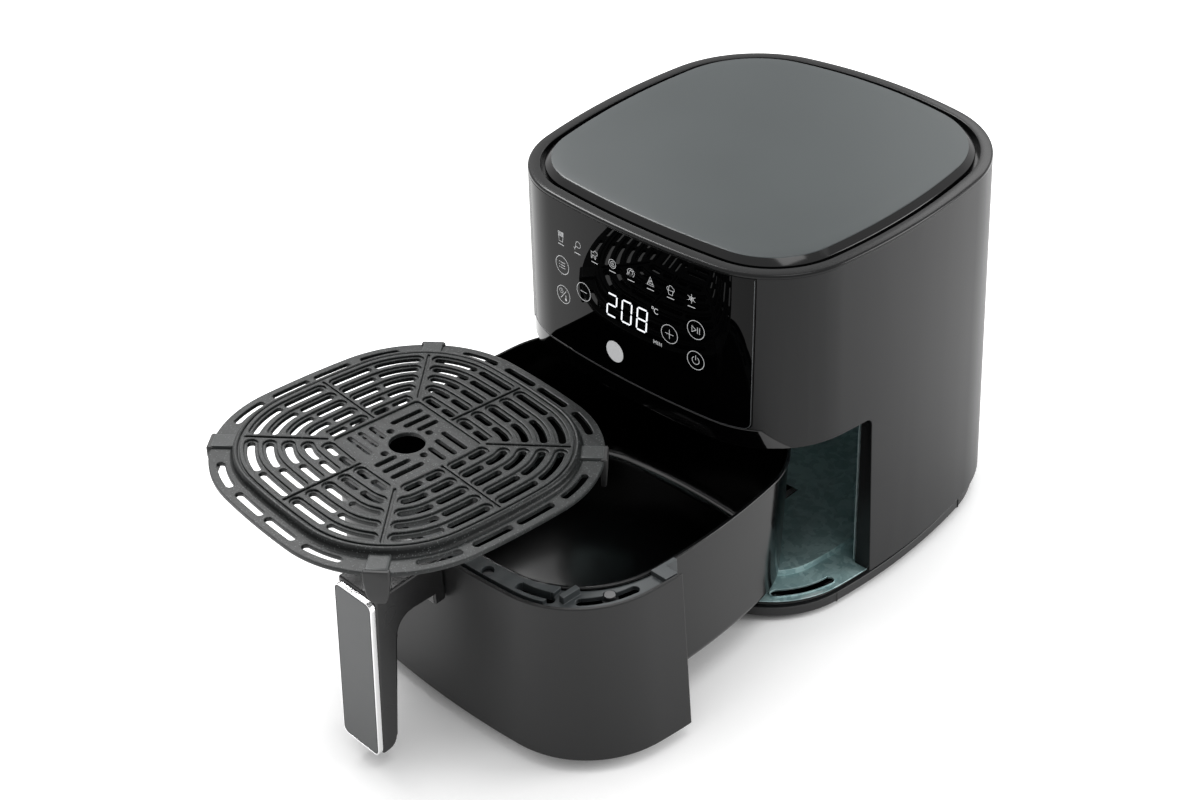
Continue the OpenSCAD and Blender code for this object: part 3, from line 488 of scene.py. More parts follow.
class Nodes:
    """A node tree that is being wired."""

    def __init__(self, tree: bpy.types.NodeTree) -> None:
        """Keeps the tree."""
        self.tree = tree

    def add(self, kind: str, **values: object) -> bpy.types.Node:
        """Adds a node and sets its fields.

        Args:
            kind: Blender's name for the node's type.
            **values: Fields by name; a name that starts with `in_` sets that input's value.

        Returns:
            The new node.
        """
        node = self.tree.nodes.new(kind)
        for key, value in values.items():
            if key.startswith("in_"):
                node.inputs[key[3:].replace("_", " ")].default_value = value
            else:
                setattr(node, key, value)
        return node

    def link(self, source: bpy.types.NodeSocket, target: bpy.types.NodeSocket) -> None:
        """Joins two sockets."""
        self.tree.links.new(source, target)

    def math(self, operation: str, a: object, b: object) -> bpy.types.NodeSocket:
        """Adds a Math node; each operand is a socket or a number."""
        node = self.add("ShaderNodeMath", operation=operation)
        for socket, value in zip(node.inputs, (a, b)):
            if isinstance(value, bpy.types.NodeSocket):
                self.link(value, socket)
            else:
                socket.default_value = value
        return node.outputs[0]

    def mix(self, share: bpy.types.NodeSocket, under: object, over: object) -> bpy.types.NodeSocket:
        """Adds a colour mix; each colour is a socket or three numbers."""
        node = self.add("ShaderNodeMix", data_type="RGBA")
        self.link(share, node.inputs[0])
        for socket, colour in ((node.inputs[6], under), (node.inputs[7], over)):
            if isinstance(colour, bpy.types.NodeSocket):
                self.link(colour, socket)
            else:
                socket.default_value = (*colour, 1.0)
        return node.outputs[2]

    def ramp(self, source: bpy.types.NodeSocket, stops: Sequence[Point2]) -> bpy.types.NodeSocket:
        """Adds a ramp of grey stops, as pairs of place and level, and returns its colour."""
        node = self.add("ShaderNodeValToRGB")
        band = node.color_ramp
        band.elements[0].position, band.elements[-1].position = stops[0][0], stops[-1][0]
        for place, _ in stops[1:-1]:
            band.elements.new(place)
        for element, (_, level) in zip(band.elements, stops):
            element.color = (level, level, level, 1.0)
        self.link(source, node.inputs[0])
        return node.outputs[0]


Effect = tuple[bpy.types.NodeTree, Nodes, bpy.types.Node, bpy.types.Node]


def emptied(owner: bpy.types.Material | bpy.types.World) -> Nodes:
    """Clears the nodes of a material or a world and returns its wiring."""
    owner.use_nodes = True
    owner.node_tree.nodes.clear()
    return Nodes(owner.node_tree)


def effect(name: str, inputs: dict[str, float], outputs: Sequence[str]) -> Effect:
    """Starts a shader node group with named sockets.

    Args:
        name: Name of the group.
        inputs: Its number inputs and their defaults.
        outputs: Names of its number outputs.

    Returns:
        The group, its wiring, its input node and its output node.
    """
    group = bpy.data.node_groups.new(name, "ShaderNodeTree")
    for key, value in inputs.items():
        socket = group.interface.new_socket(name=key, in_out="INPUT", socket_type="NodeSocketFloat")
        socket.default_value = value
    for key in outputs:
        group.interface.new_socket(name=key, in_out="OUTPUT", socket_type="NodeSocketFloat")
    wiring = Nodes(group)
    return group, wiring, wiring.add("NodeGroupInput"), wiring.add("NodeGroupOutput")


@lru_cache(maxsize=None)
def moulded_grain() -> bpy.types.NodeTree:
    """Fine moulded or sprayed grain, with a slow drift of tone over the surface."""
    group, n, source, result = effect("moulded_grain", {"Scale": 900.0, "Drift": 14.0}, ("Grain", "Tone"))
    place = n.add("ShaderNodeTexCoord")
    fine = n.add("ShaderNodeTexNoise", in_Detail=3.0, in_Roughness=0.6)
    slow = n.add("ShaderNodeTexNoise", in_Detail=2.0)
    n.link(place.outputs["Object"], fine.inputs["Vector"])
    n.link(place.outputs["Object"], slow.inputs["Vector"])
    n.link(source.outputs["Scale"], fine.inputs["Scale"])
    n.link(source.outputs["Drift"], slow.inputs["Scale"])
    n.link(fine.outputs["Fac"], result.inputs["Grain"])
    n.link(slow.outputs["Fac"], result.inputs["Tone"])
    return group


@lru_cache(maxsize=None)
def worn_edges() -> bpy.types.NodeTree:
    """Mask of the raised edges, where a finish rubs lighter."""
    group, n, source, result = effect("worn_edges", {"Low": 0.52, "High": 0.62}, ("Edge",))
    shape = n.add("ShaderNodeNewGeometry")
    level = n.add("ShaderNodeMapRange")
    n.link(shape.outputs["Pointiness"], level.inputs["Value"])
    n.link(source.outputs["Low"], level.inputs["From Min"])
    n.link(source.outputs["High"], level.inputs["From Max"])
    n.link(level.outputs["Result"], result.inputs["Edge"])
    return group


@lru_cache(maxsize=None)
def flecks() -> bpy.types.NodeTree:
    """Small scattered flecks, as in a stone-look coating."""
    group, n, source, result = effect("flecks", {"Scale": 700.0, "Share": 0.2}, ("Fleck",))
    place = n.add("ShaderNodeTexCoord")
    cells = n.add("ShaderNodeTexVoronoi", feature="F1")
    n.link(place.outputs["Object"], cells.inputs["Vector"])
    n.link(source.outputs["Scale"], cells.inputs["Scale"])
    tone = n.add("ShaderNodeSeparateColor")
    n.link(cells.outputs["Color"], tone.inputs[0])
    chosen = n.math("LESS_THAN", tone.outputs[0], source.outputs["Share"])
    core = n.math("LESS_THAN", cells.outputs["Distance"], FLECK_CORE)
    level = n.math("MULTIPLY", n.math("MULTIPLY", chosen, core), tone.outputs[1])
    n.link(level, result.inputs["Fleck"])
    return group


@lru_cache(maxsize=None)
def zinc_spangle() -> bpy.types.NodeTree:
    """Crystal patches of a zinc-coated sheet, with fine rolling marks."""
    group, n, source, result = effect("zinc_spangle", {"Scale": 130.0}, ("Patch", "Rolling"))
    place = n.add("ShaderNodeTexCoord")
    bend = n.add("ShaderNodeTexNoise", in_Scale=60.0, in_Detail=3.0)
    n.link(place.outputs["Object"], bend.inputs["Vector"])
    mixed = n.add("ShaderNodeMix", data_type="VECTOR", in_Factor=0.02)
    n.link(place.outputs["Object"], mixed.inputs[4])
    n.link(bend.outputs["Color"], mixed.inputs[5])
    cells = n.add("ShaderNodeTexVoronoi", feature="F1")
    n.link(mixed.outputs[1], cells.inputs["Vector"])
    n.link(source.outputs["Scale"], cells.inputs["Scale"])
    tone = n.add("ShaderNodeSeparateColor")
    n.link(cells.outputs["Color"], tone.inputs[0])
    n.link(tone.outputs[0], result.inputs["Patch"])
    stretch = n.add("ShaderNodeMapping", in_Scale=(900.0, 30.0, 900.0))
    n.link(place.outputs["Object"], stretch.inputs["Vector"])
    lines = n.add("ShaderNodeTexNoise", in_Scale=1.0, in_Detail=2.0)
    n.link(stretch.outputs[0], lines.inputs["Vector"])
    n.link(lines.outputs["Fac"], result.inputs["Rolling"])
    return group


@dataclass(frozen=True)
class Finish:
    """A surface: its colours, gloss and the effects that vary them.

    Attributes:
        name: Name of the material.
        colour: Main colour.
        second: Colour of the drift, patches or flecks.
        rough: Roughness.
        rough_spread: How much the roughness varies over the surface.
        grain_scale: Fineness of the grain.
        grain_depth_mm: Depth of the grain.
        metallic: 1 for bare metal.
        edge: How far edges rub towards `edge_colour`.
        edge_colour: Colour of rubbed edges.
        fleck_share: Share of fleck cells that show.
        fleck_scale: Fineness of the flecks.
        spangle: Scale of zinc patches, or 0.
        glow: Strength of its own light.
        specular: Specular level.
    """

    name: str
    colour: Colour
    second: Colour
    rough: float = 0.5
    rough_spread: float = 0.08
    grain_scale: float = 900.0
    grain_depth_mm: float = 0.02
    metallic: float = 0.0
    edge: float = 0.3
    edge_colour: Colour = (0.2, 0.2, 0.2)
    fleck_share: float = 0.0
    fleck_scale: float = 700.0
    spangle: float = 0.0
    glow: float = 0.0
    specular: float = 0.5

    def build(self) -> bpy.types.Material:
        """Wires the material.

        Returns:
            The material.
        """
        material = bpy.data.materials.new(f"{self.name}_look")
        material.diffuse_color = (*self.colour, 1.0)
        n = emptied(material)
        shader = n.add("ShaderNodeBsdfPrincipled", in_Metallic=self.metallic, in_IOR=GLOSS_IOR)
        shader.inputs["Specular IOR Level"].default_value = self.specular
        result = n.add("ShaderNodeOutputMaterial")
        n.link(shader.outputs[0], result.inputs[0])
        grain = n.add("ShaderNodeGroup", node_tree=moulded_grain(), in_Scale=self.grain_scale)
        colour = self.coloured(n, self.spangle_patches(n) if self.spangle else grain.outputs["Tone"])
        n.link(colour, shader.inputs["Base Color"])
        if self.glow:
            n.link(colour, shader.inputs["Emission Color"])
            shader.inputs["Emission Strength"].default_value = self.glow
        low, high = self.rough - self.rough_spread, self.rough + self.rough_spread
        gloss = n.add("ShaderNodeMapRange", in_To_Min=low, in_To_Max=high)
        n.link(grain.outputs["Tone"], gloss.inputs["Value"])
        n.link(gloss.outputs["Result"], shader.inputs["Roughness"])
        bump = n.add("ShaderNodeBump", in_Strength=1.0, in_Distance=self.grain_depth_mm * MM)
        n.link(grain.outputs["Grain"], bump.inputs["Height"])
        n.link(bump.outputs[0], shader.inputs["Normal"])
        return material

    def coloured(self, n: Nodes, drift: bpy.types.NodeSocket) -> bpy.types.NodeSocket:
        """Mixes the colours: drift or patches, then rubbed edges, then flecks.

        Args:
            n: The material's wiring.
            drift: Tone that leads from the first colour to the second.

        Returns:
            The finished colour.
        """
        drifted = [c * FLECK_GROUND for c in self.colour] if self.fleck_share else self.second
        ground = n.mix(n.ramp(drift, ((0.3, 0.0), (0.7, 1.0))), self.colour, drifted)
        worn = n.add("ShaderNodeGroup", node_tree=worn_edges())
        rubbed = n.mix(n.math("MULTIPLY", worn.outputs["Edge"], self.edge), ground, self.edge_colour)
        if not self.fleck_share:
            return rubbed
        dots = n.add(
            "ShaderNodeGroup", node_tree=flecks(), in_Scale=self.fleck_scale, in_Share=self.fleck_share
        )
        return n.mix(dots.outputs["Fleck"], rubbed, self.second)

    def spangle_patches(self, n: Nodes) -> bpy.types.NodeSocket:
        """Adds the zinc patches and returns their tone."""
        zinc = n.add("ShaderNodeGroup", node_tree=zinc_spangle(), in_Scale=self.spangle)
        patches = n.math("MULTIPLY", zinc.outputs["Patch"], 1.0 - ROLLING_SHARE)
        return n.math("ADD", patches, n.math("MULTIPLY", zinc.outputs["Rolling"], ROLLING_SHARE))


@lru_cache(maxsize=None)
def made(finish: Finish) -> bpy.types.Material:
    """Builds a finish's material once."""
    return finish.build()


class Surface(Enum):
    """The finishes of the fryer."""

    HOUSING = Finish(
        "housing_plastic", (0.0052, 0.0054, 0.0059), (0.0077, 0.0079, 0.0085),
        rough=0.40, rough_spread=0.03, grain_scale=1300.0, grain_depth_mm=0.016, edge=0.04,
        specular=0.26,
    )
    RING = Finish(
        "ring_plastic", (0.004, 0.0042, 0.0045), (0.006, 0.0062, 0.0065),
        rough=0.22, rough_spread=0.03, grain_scale=1500.0, grain_depth_mm=0.003, edge=0.08,
        specular=0.22,
    )
    DISC = Finish(
        "disc_plastic", (0.0175, 0.0258, 0.0275), (0.021, 0.030, 0.0318),
        rough=0.36, rough_spread=0.03, grain_scale=1500.0, grain_depth_mm=0.014, edge=0.03,
    )
    BEVEL = Finish(
        "disc_edge_gloss", (0.003, 0.003, 0.0033), (0.0045, 0.0045, 0.005),
        rough=0.12, rough_spread=0.02, grain_scale=1500.0, grain_depth_mm=0.001, edge=0.08, specular=0.3,
    )
    GLASS = Finish(
        "panel_glass", (0.0008, 0.0008, 0.001), (0.0012, 0.0012, 0.0014),
        rough=0.006, rough_spread=0.003, grain_scale=60.0, grain_depth_mm=0.0, edge=0.0, specular=0.115,
    )
    LIP = Finish(
        "lip_plastic", (0.0016, 0.0016, 0.0018), (0.0022, 0.0022, 0.0024),
        rough=0.03, rough_spread=0.01, grain_scale=1500.0, grain_depth_mm=0.0, edge=0.05,
    )
    BLACK = Finish(
        "black_plastic", (0.006, 0.006, 0.0065), (0.009, 0.009, 0.0095),
        rough=0.5, rough_spread=0.06, grain_scale=1400.0, grain_depth_mm=0.012, edge=0.1,
    )
    JAMB = Finish(
        "jamb_plastic", (0.0035, 0.0035, 0.004), (0.005, 0.005, 0.0055),
        rough=0.26, rough_spread=0.04, grain_scale=1400.0, grain_depth_mm=0.004, edge=0.1, specular=0.3,
    )
    DRAWER = Finish(
        "drawer_plastic", (0.0072, 0.0073, 0.0076), (0.0102, 0.0103, 0.0107),
        rough=0.42, rough_spread=0.03, grain_scale=1300.0, grain_depth_mm=0.016, edge=0.08,
        specular=0.33,
    )
    ZINC = Finish(
        "galvanised_sheet", (0.27, 0.43, 0.44), (0.42, 0.60, 0.60),
        rough=0.38, rough_spread=0.08, grain_scale=800.0, grain_depth_mm=0.006, metallic=0.25, edge=0.4,
        edge_colour=(0.8, 0.86, 0.86), spangle=230.0,
    )
    BRIGHT = Finish(
        "bright_sheet", (0.55, 0.56, 0.57), (0.66, 0.67, 0.68),
        rough=0.3, rough_spread=0.08, grain_scale=900.0, grain_depth_mm=0.006, metallic=1.0,
        spangle=260.0,
    )
    HEATER = Finish(
        "heater_tube", (0.07, 0.068, 0.066), (0.13, 0.115, 0.10),
        rough=0.5, rough_spread=0.1, grain_scale=600.0, grain_depth_mm=0.01, metallic=0.7,
    )
    STEEL = Finish(
        "plain_steel", (0.34, 0.34, 0.35), (0.45, 0.45, 0.46),
        rough=0.33, rough_spread=0.08, grain_scale=900.0, grain_depth_mm=0.006, metallic=1.0,
    )
    SCREW = Finish(
        "dark_screw", (0.04, 0.04, 0.042), (0.06, 0.06, 0.063),
        rough=0.45, rough_spread=0.08, grain_scale=900.0, grain_depth_mm=0.006, metallic=0.8,
    )
    RUBBER = Finish(
        "foot_rubber", (0.014, 0.014, 0.014), (0.022, 0.022, 0.022),
        rough=0.7, rough_spread=0.08, grain_scale=1100.0, grain_depth_mm=0.02,
    )
    SILICONE = Finish(
        "plate_silicone", (0.006, 0.0062, 0.0065), (0.009, 0.0092, 0.0095),
        rough=0.55, rough_spread=0.06, grain_scale=1000.0, grain_depth_mm=0.01, edge=0.2,
    )
    BOARD = Finish(
        "circuit_board", (0.015, 0.09, 0.04), (0.02, 0.13, 0.055),
        rough=0.35, rough_spread=0.08, grain_scale=500.0, grain_depth_mm=0.01,
    )
    PALE = Finish(
        "pale_parts", (0.55, 0.56, 0.55), (0.62, 0.62, 0.6),
        rough=0.4, rough_spread=0.06, grain_scale=900.0, grain_depth_mm=0.008,
    )
    WOOL = Finish(
        "glass_wool", (0.62, 0.6, 0.52), (0.72, 0.7, 0.62),
        rough=0.9, rough_spread=0.05, grain_scale=260.0, grain_depth_mm=0.4,
    )
    PAN = Finish(
        "pan_coating", (0.0012, 0.0014, 0.0015), (0.002, 0.0022, 0.0024),
        rough=0.13, rough_spread=0.02, grain_scale=1300.0, grain_depth_mm=0.003, edge=0.2,
        edge_colour=(0.12, 0.125, 0.13), specular=0.3,
    )
    # A lighter, glossier copy of the pan coating painted on the inner floor fillet: a painted highlight
    # band.
    PAN_CORNER_HIGHLIGHT = Finish(
        "pan_corner_painted_highlight", (0.0025, 0.0027, 0.0028), (0.004, 0.0042, 0.0044),
        rough=0.17, rough_spread=0.02, grain_scale=1300.0, grain_depth_mm=0.003, edge=0.2,
        edge_colour=(0.12, 0.125, 0.13), specular=1.0,
    )
    BRACKET = Finish(
        "bracket_plastic", (0.034, 0.041, 0.044), (0.042, 0.049, 0.052),
        rough=0.46, rough_spread=0.05, grain_scale=1200.0, grain_depth_mm=0.01, edge=0.3,
        edge_colour=(0.12, 0.13, 0.135),
    )
    HANDLE = Finish(
        "handle_plastic", (0.006, 0.006, 0.0065), (0.008, 0.008, 0.0085),
        rough=0.26, rough_spread=0.04, grain_scale=1400.0, grain_depth_mm=0.004, edge=0.1,
    )
    CHROME = Finish(
        "chrome_trim", (0.84, 0.84, 0.85), (0.88, 0.88, 0.88),
        rough=0.26, rough_spread=0.03, grain_scale=700.0, grain_depth_mm=0.001, metallic=1.0, edge=0.0,
    )
    INSERT = Finish(
        "handle_insert_grey", (0.080, 0.086, 0.088), (0.088, 0.094, 0.096),
        rough=0.36, rough_spread=0.04, grain_scale=2200.0, grain_depth_mm=0.003, edge=0.08,
    )
    PLATE = Finish(
        "plate_coating", (0.006, 0.007, 0.007), (0.088, 0.095, 0.095),
        rough=0.40, rough_spread=0.08, grain_scale=700.0, grain_depth_mm=0.10, edge=0.6,
        edge_colour=(0.14, 0.15, 0.15), fleck_share=0.5, fleck_scale=800.0, specular=0.27,
    )
    # The white print also glows a little: painted brightness, since the print is no lamp.
    PRINT = Finish(
        "white_print", (0.80, 0.81, 0.82), (0.86, 0.87, 0.88),
        rough=0.4, rough_spread=0.02, grain_scale=900.0, grain_depth_mm=0.001, edge=0.0, glow=0.35,
    )
    # A thin grey line painted along the glass's edge: a painted highlight where its bevel catches light.
    GLASS_EDGE_HIGHLIGHT = Finish(
        "glass_edge_painted_highlight", (0.17, 0.18, 0.19), (0.21, 0.22, 0.23),
        rough=0.25, rough_spread=0.03, grain_scale=900.0, grain_depth_mm=0.001, edge=0.0,
    )
    DIGITS = Finish(
        "lit_digits", (0.9, 0.95, 1.0), (0.96, 0.98, 1.0),
        rough=0.4, rough_spread=0.02, grain_scale=900.0, grain_depth_mm=0.001, edge=0.0, glow=1.0,
    )

    @property
    def material(self) -> bpy.types.Material:
        """The material, made the first time that it is asked for."""
        return made(self.value)


# --------------------------------------------------------------------------- places and pieces


BODY = Outline(135.0, 133.3, 136.5, 453.0, 674.0, 327.0, 65.4, 82.6)
PLATE_RIM = Outline(112.5, 112.5, 112.5, 560.0, 560.0, 560.0, 84.0, 84.0)
PAN_RIM = Outline(122.0, 119.0, 114.0, 450.0, 500.0, 500.0, 68.0, 68.0)

# The shell ends at the seam under the top ring, and grows by FLARE for each millimetre below it.
SEAM_Z = 272.0
FLARE = 0.033
WALL = 2.6

# Height of the pan's rim, and how far its rolled bead stands out.
PAN_RIM_Z = 142.6
PAN_BEAD = 1.0

# Longest distance between two points of an outline, and of the crisper plate's.
STEP = 3.0
PLATE_STEP = 2.5


def spread(z: float) -> float:
    """Returns how far the housing's outline has grown at a height."""
    return (SEAM_Z - z) * FLARE


class Bench:
    """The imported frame, and the pieces that are made on it."""

    def __init__(self, frame: dict) -> None:
        """Reads where the housing and the drawer stand.
        """
        self.nodes = frame["nodes"]
        self.slots = {part["node"]: part["material_slot"] for part in frame["record"]["subparts"]}
        ring_low, ring_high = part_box("top_ring")
        pan_low, pan_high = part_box("pan_shell")
        middle = (ring_low.x + ring_high.x) / 2
        depth = ring_low.y + BODY.front * MM
        pan_depth = pan_low.y + (PAN_RIM.front + PAN_BEAD) * MM
        self.housing = Matrix.Translation((middle, depth, 0.0))
        self.drawer = Matrix.Translation((middle, pan_depth, pan_high.z - PAN_RIM_Z * MM))

    def add(
        self, name: str, mesh: bpy.types.Mesh, node: str, surface: Surface, stands_for: bool = True
    ) -> bpy.types.Object:
        """Turns a mesh into a piece that rides with a node's body.

        Args:
            name: Name of the piece.
            mesh: Its mesh, in the frame's own axes.
            node: The CAD node that it stands for, or that carries it.
            surface: Its finish.
            stands_for: True when it takes the node's place.

        Returns:
            The new object.
        """
        piece = placed(name, mesh)
        mesh.materials.clear()
        mesh.materials.append(surface.material)
        mesh.shade_smooth()
        mesh.set_sharp_from_angle(angle=math.radians(SHARP_DEG))
        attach(piece, self.nodes[node]["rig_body"])
        if stands_for:
            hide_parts(node)
        LOG.info("piece %s: %d faces", name, len(mesh.polygons))
        return piece

    def draw(
        self, name: str, draft: Draft, place: Matrix, node: str, surface: Surface, stands_for: bool = True
    ) -> bpy.types.Object:
        """Turns a drawing into a piece.

        Args:
            name: Name of the piece.
            draft: Its drawing, in millimetres.
            place: Where the drawing stands, in metres.
            node: The CAD node that it stands for, or that carries it.
            surface: Its finish.
            stands_for: True when it takes the node's place.

        Returns:
            The new object.
        """
        return self.add(name, draft.mesh(name, place), node, surface, stands_for)

    def rounded(
        self, node: str, surface: Surface, edge_mm: float, segments: int = 2, merge_mm: float = 0.002
    ) -> bpy.types.Object:
        """Replaces a node with a copy whose sharp edges are rounded.

        Args:
            node: The node.
            surface: Its finish.
            edge_mm: Width of the rounding.
            segments: Facets across the rounding.
            merge_mm: Points closer than this become one.

        Returns:
            The new piece.
        """
        mesh = self.nodes[node].data.copy()
        shell = bmesh.new()
        shell.from_mesh(mesh)
        bmesh.ops.remove_doubles(shell, verts=shell.verts, dist=merge_mm * MM)
        bmesh.ops.dissolve_limit(
            shell,
            angle_limit=math.radians(FLAT_DEG),
            verts=shell.verts,
            edges=shell.edges,
            use_dissolve_boundaries=False,
        )
        shell.to_mesh(mesh)
        shell.free()
        if "custom_normal" in mesh.attributes:
            mesh.attributes.remove(mesh.attributes["custom_normal"])
        piece = self.add(f"{node}_finished", mesh, node, surface)
        return even_shading(soften(piece, edge_mm, segments, ROUNDED_DEG, clamp=False))

    def dress(self, surface: Surface, *nodes: str) -> None:
        """Gives CAD nodes a finish."""
        for node in nodes:
            for slot in self.nodes[node].material_slots:
                slot.material = surface.material


def paint(
    piece: bpy.types.Object, surface: Surface, chosen: Callable[[bpy.types.MeshPolygon], bool]
) -> None:
    """Gives some faces of a piece a second finish.

    Args:
        piece: The piece.
        surface: The second finish.
        chosen: Says whether a face gets it.
    """
    mesh = piece.data
    mesh.materials.append(surface.material)
    index = len(mesh.materials) - 1
    for face in mesh.polygons:
        if chosen(face):
            face.material_index = index


# --------------------------------------------------------------------------- housing


@dataclass(frozen=True)
class Housing:
    """Side shell, top ring, top disc, base and back of the fryer.

    Attributes:
        ring_w: Width of the top ring.
        ring_top: Height of the top ring's upper face.
        groove_z: Height of the bottom of the groove.
        groove_w: Width of the groove.
        disc_top: Height of the disc.
        bevel_w: Width of the bevel around the disc.
        bevel_drop: How far the bevel's foot lies under the ring's upper face.
        jamb_y: Depth of the opening's side jambs.
        ring_outer_r: Radius of the ring's outer edge.
        ring_inner_r: Radius of the ring's inner edge.
        tray_reach: How far the tray under the groove goes inwards.
        tray_t: Thickness of that tray.
        ring_foot: Width of the ring's foot, measured in from its inner face.
        disc_foot_r: Radius at the foot of the bevel.
        disc_brow_r: Radius between the bevel and the disc's flat.
        crown: Insets of the flat's inner rows.
    """

    ring_w: float = 8.5
    ring_top: float = 274.5
    groove_z: float = 268.5
    groove_w: float = 3.0
    disc_top: float = 277.5
    bevel_w: float = 4.5
    bevel_drop: float = 1.0
    jamb_y: float = -50.0
    ring_outer_r: float = 1.7
    ring_inner_r: float = 0.7
    tray_reach: float = 16.0
    tray_t: float = 2.0
    ring_foot: float = 1.5
    disc_foot_r: float = 1.2
    disc_brow_r: float = 1.6
    crown: tuple[float, float] = (26.0, 60.0)

    def build(self, bench: Bench) -> None:
        """Builds and dresses the pieces."""
        self.shell(bench)
        self.ring(bench)
        self.disc(bench)
        bench.rounded("base_tray", Surface.BLACK, 0.6)
        bench.rounded("rubber_feet", Surface.RUBBER, 0.6)
        bench.dress(Surface.BLACK, "base_posts", "panel_frame", "back_grille", "inner_deck", "exhaust_duct")
        bench.dress(Surface.RUBBER, "cord_gland")
        bench.dress(Surface.SCREW, "base_screws", "deck_screws")

    def shell(self, bench: Bench) -> None:
        """Dresses the side shell; the opening's jambs are glossy black."""
        piece = bench.rounded("side_shell", Surface.HOUSING, 0.35, merge_mm=0.06)
        jamb_depth = bench.housing.translation.y + self.jamb_y * MM
        near = 0.2 * MM
        paint(piece, Surface.JAMB, lambda f: f.normal.y < -0.9 and abs(f.center.y - jamb_depth) < near)

    def ring(self, bench: Bench) -> None:
        """Builds the rounded ring on top of the shell, with the tray under its groove."""
        inner, foot = -self.ring_w, self.ring_foot - self.ring_w
        top, tray_low = self.ring_top, self.groove_z - self.tray_t
        r, small_r = self.ring_outer_r, self.ring_inner_r
        outside = arc(-r, top - r, r, 0.0, 90.0, 6)
        inside = arc(inner + small_r, top - small_r, small_r, 90.0, 180.0, 4)
        tray = [(inner, self.groove_z), (-self.tray_reach, self.groove_z), (-self.tray_reach, tray_low)]
        profile = [(0.0, SEAM_Z)] + outside + inside + tray + [(foot, tray_low), (foot, SEAM_Z)]
        draft = swept(BODY.loop(STEP), profile, True)
        bench.draw("top_ring_rim", draft, bench.housing, "top_ring", Surface.RING)

    def disc(self, bench: Bench) -> None:
        """Builds the satin disc with its glossy bevel."""
        outer = -self.ring_w - self.groove_w
        low = self.ring_top - self.bevel_drop
        upright = 90.0 - math.degrees(math.atan2(self.disc_top - low, self.bevel_w))
        r = self.disc_brow_r
        foot = arc(outer - self.disc_foot_r, low - 0.2, self.disc_foot_r, 0.0, upright, 4)
        brow = arc(outer - self.bevel_w - 0.9, self.disc_top - r, r, upright, 90.0, 5)
        flat = [(-inset, self.disc_top) for inset in self.crown]
        draft = swept(BODY.loop(STEP), [(outer, self.groove_z + 0.1)] + foot + brow + flat, False)
        piece = bench.draw("top_disc_cover", draft, bench.housing, "top_disc", Surface.DISC)
        edge_z = (self.disc_top - 0.25) * MM
        paint(piece, Surface.BEVEL, lambda f: f.center.z < edge_z)


# --------------------------------------------------------------------------- front panel


# A line's corner reaches out to at most 1 / MITRE_LIMIT of its half width.
MITRE_LIMIT = 0.5


class Marks:
    """Printed marks on the curved glass, drawn in width and height."""

    def __init__(self, grow: float) -> None:
        """Starts an empty print on the front face grown by `grow`."""
        self.grow = grow
        self.draft = Draft()

    def at(self, x: float, z: float) -> Point3:
        """Returns the place on the front face."""
        return x, BODY.front_y(x, spread(z) + self.grow), z

    def stroke(self, line: Sequence[Point2], width: float, closed: bool = False) -> None:
        """Draws a line of even width.

        Args:
            line: Its points.
            width: Its width.
            closed: True when the last point joins the first.
        """
        points = [Vector(p) for p in line]
        count = len(points)
        left: list[Vector] = []
        right: list[Vector] = []
        for i, p in enumerate(points):
            before = points[i - 1] if closed or i else p
            after = points[(i + 1) % count] if closed or i + 1 < count else p
            a = (p - before).normalized() if before != p else (after - p).normalized()
            b = (after - p).normalized() if after != p else a
            across = Vector((-(a + b).y, (a + b).x)).normalized()
            reach = width / 2 / max(MITRE_LIMIT, across.dot(Vector((-a.y, a.x))))
            left.append(p + across * reach)
            right.append(p - across * reach)
        rows = [self.draft.row(self.at(*q) for q in side) for side in (left, right)]
        self.draft.bridge(rows[0], rows[1], closed)

    def long_stroke(self, line: Sequence[Point2], width: float) -> None:
        """Draws a line that bends with the glass."""
        fine = [Vector(line[0])]
        for a, b in zip(map(Vector, line), map(Vector, line[1:])):
            steps = max(1, math.ceil((b - a).length / STEP))
            fine += [a.lerp(b, (i + 1) / steps) for i in range(steps)]
        self.stroke([tuple(p) for p in fine], width)

    def ring(
        self, x: float, z: float, radius: float, width: float, start: float = 0.0, end: float = 360.0
    ) -> None:
        """Draws a circle, or an arc of one.

        Args:
            x: Its middle, across.
            z: Its middle, in height.
            radius: Its radius.
            width: Width of the line.
            start: Angle of the arc's start, in degrees.
            end: Angle of its end.
        """
        full = end - start >= 360.0
        line = arc(x, z, radius, start, end, max(10, round(radius * 4)))
        self.stroke(line[:-1] if full else line, width, full)

    def fill(self, outline: Sequence[Point2]) -> None:
        """Fills an outline."""
        self.draft.cap(self.draft.row(self.at(*p) for p in outline))

    def spot(self, x: float, z: float, radius: float) -> None:
        """Fills a circle."""
        self.fill(arc(x, z, radius, 0.0, 360.0, max(12, round(radius * 5)))[:-1])


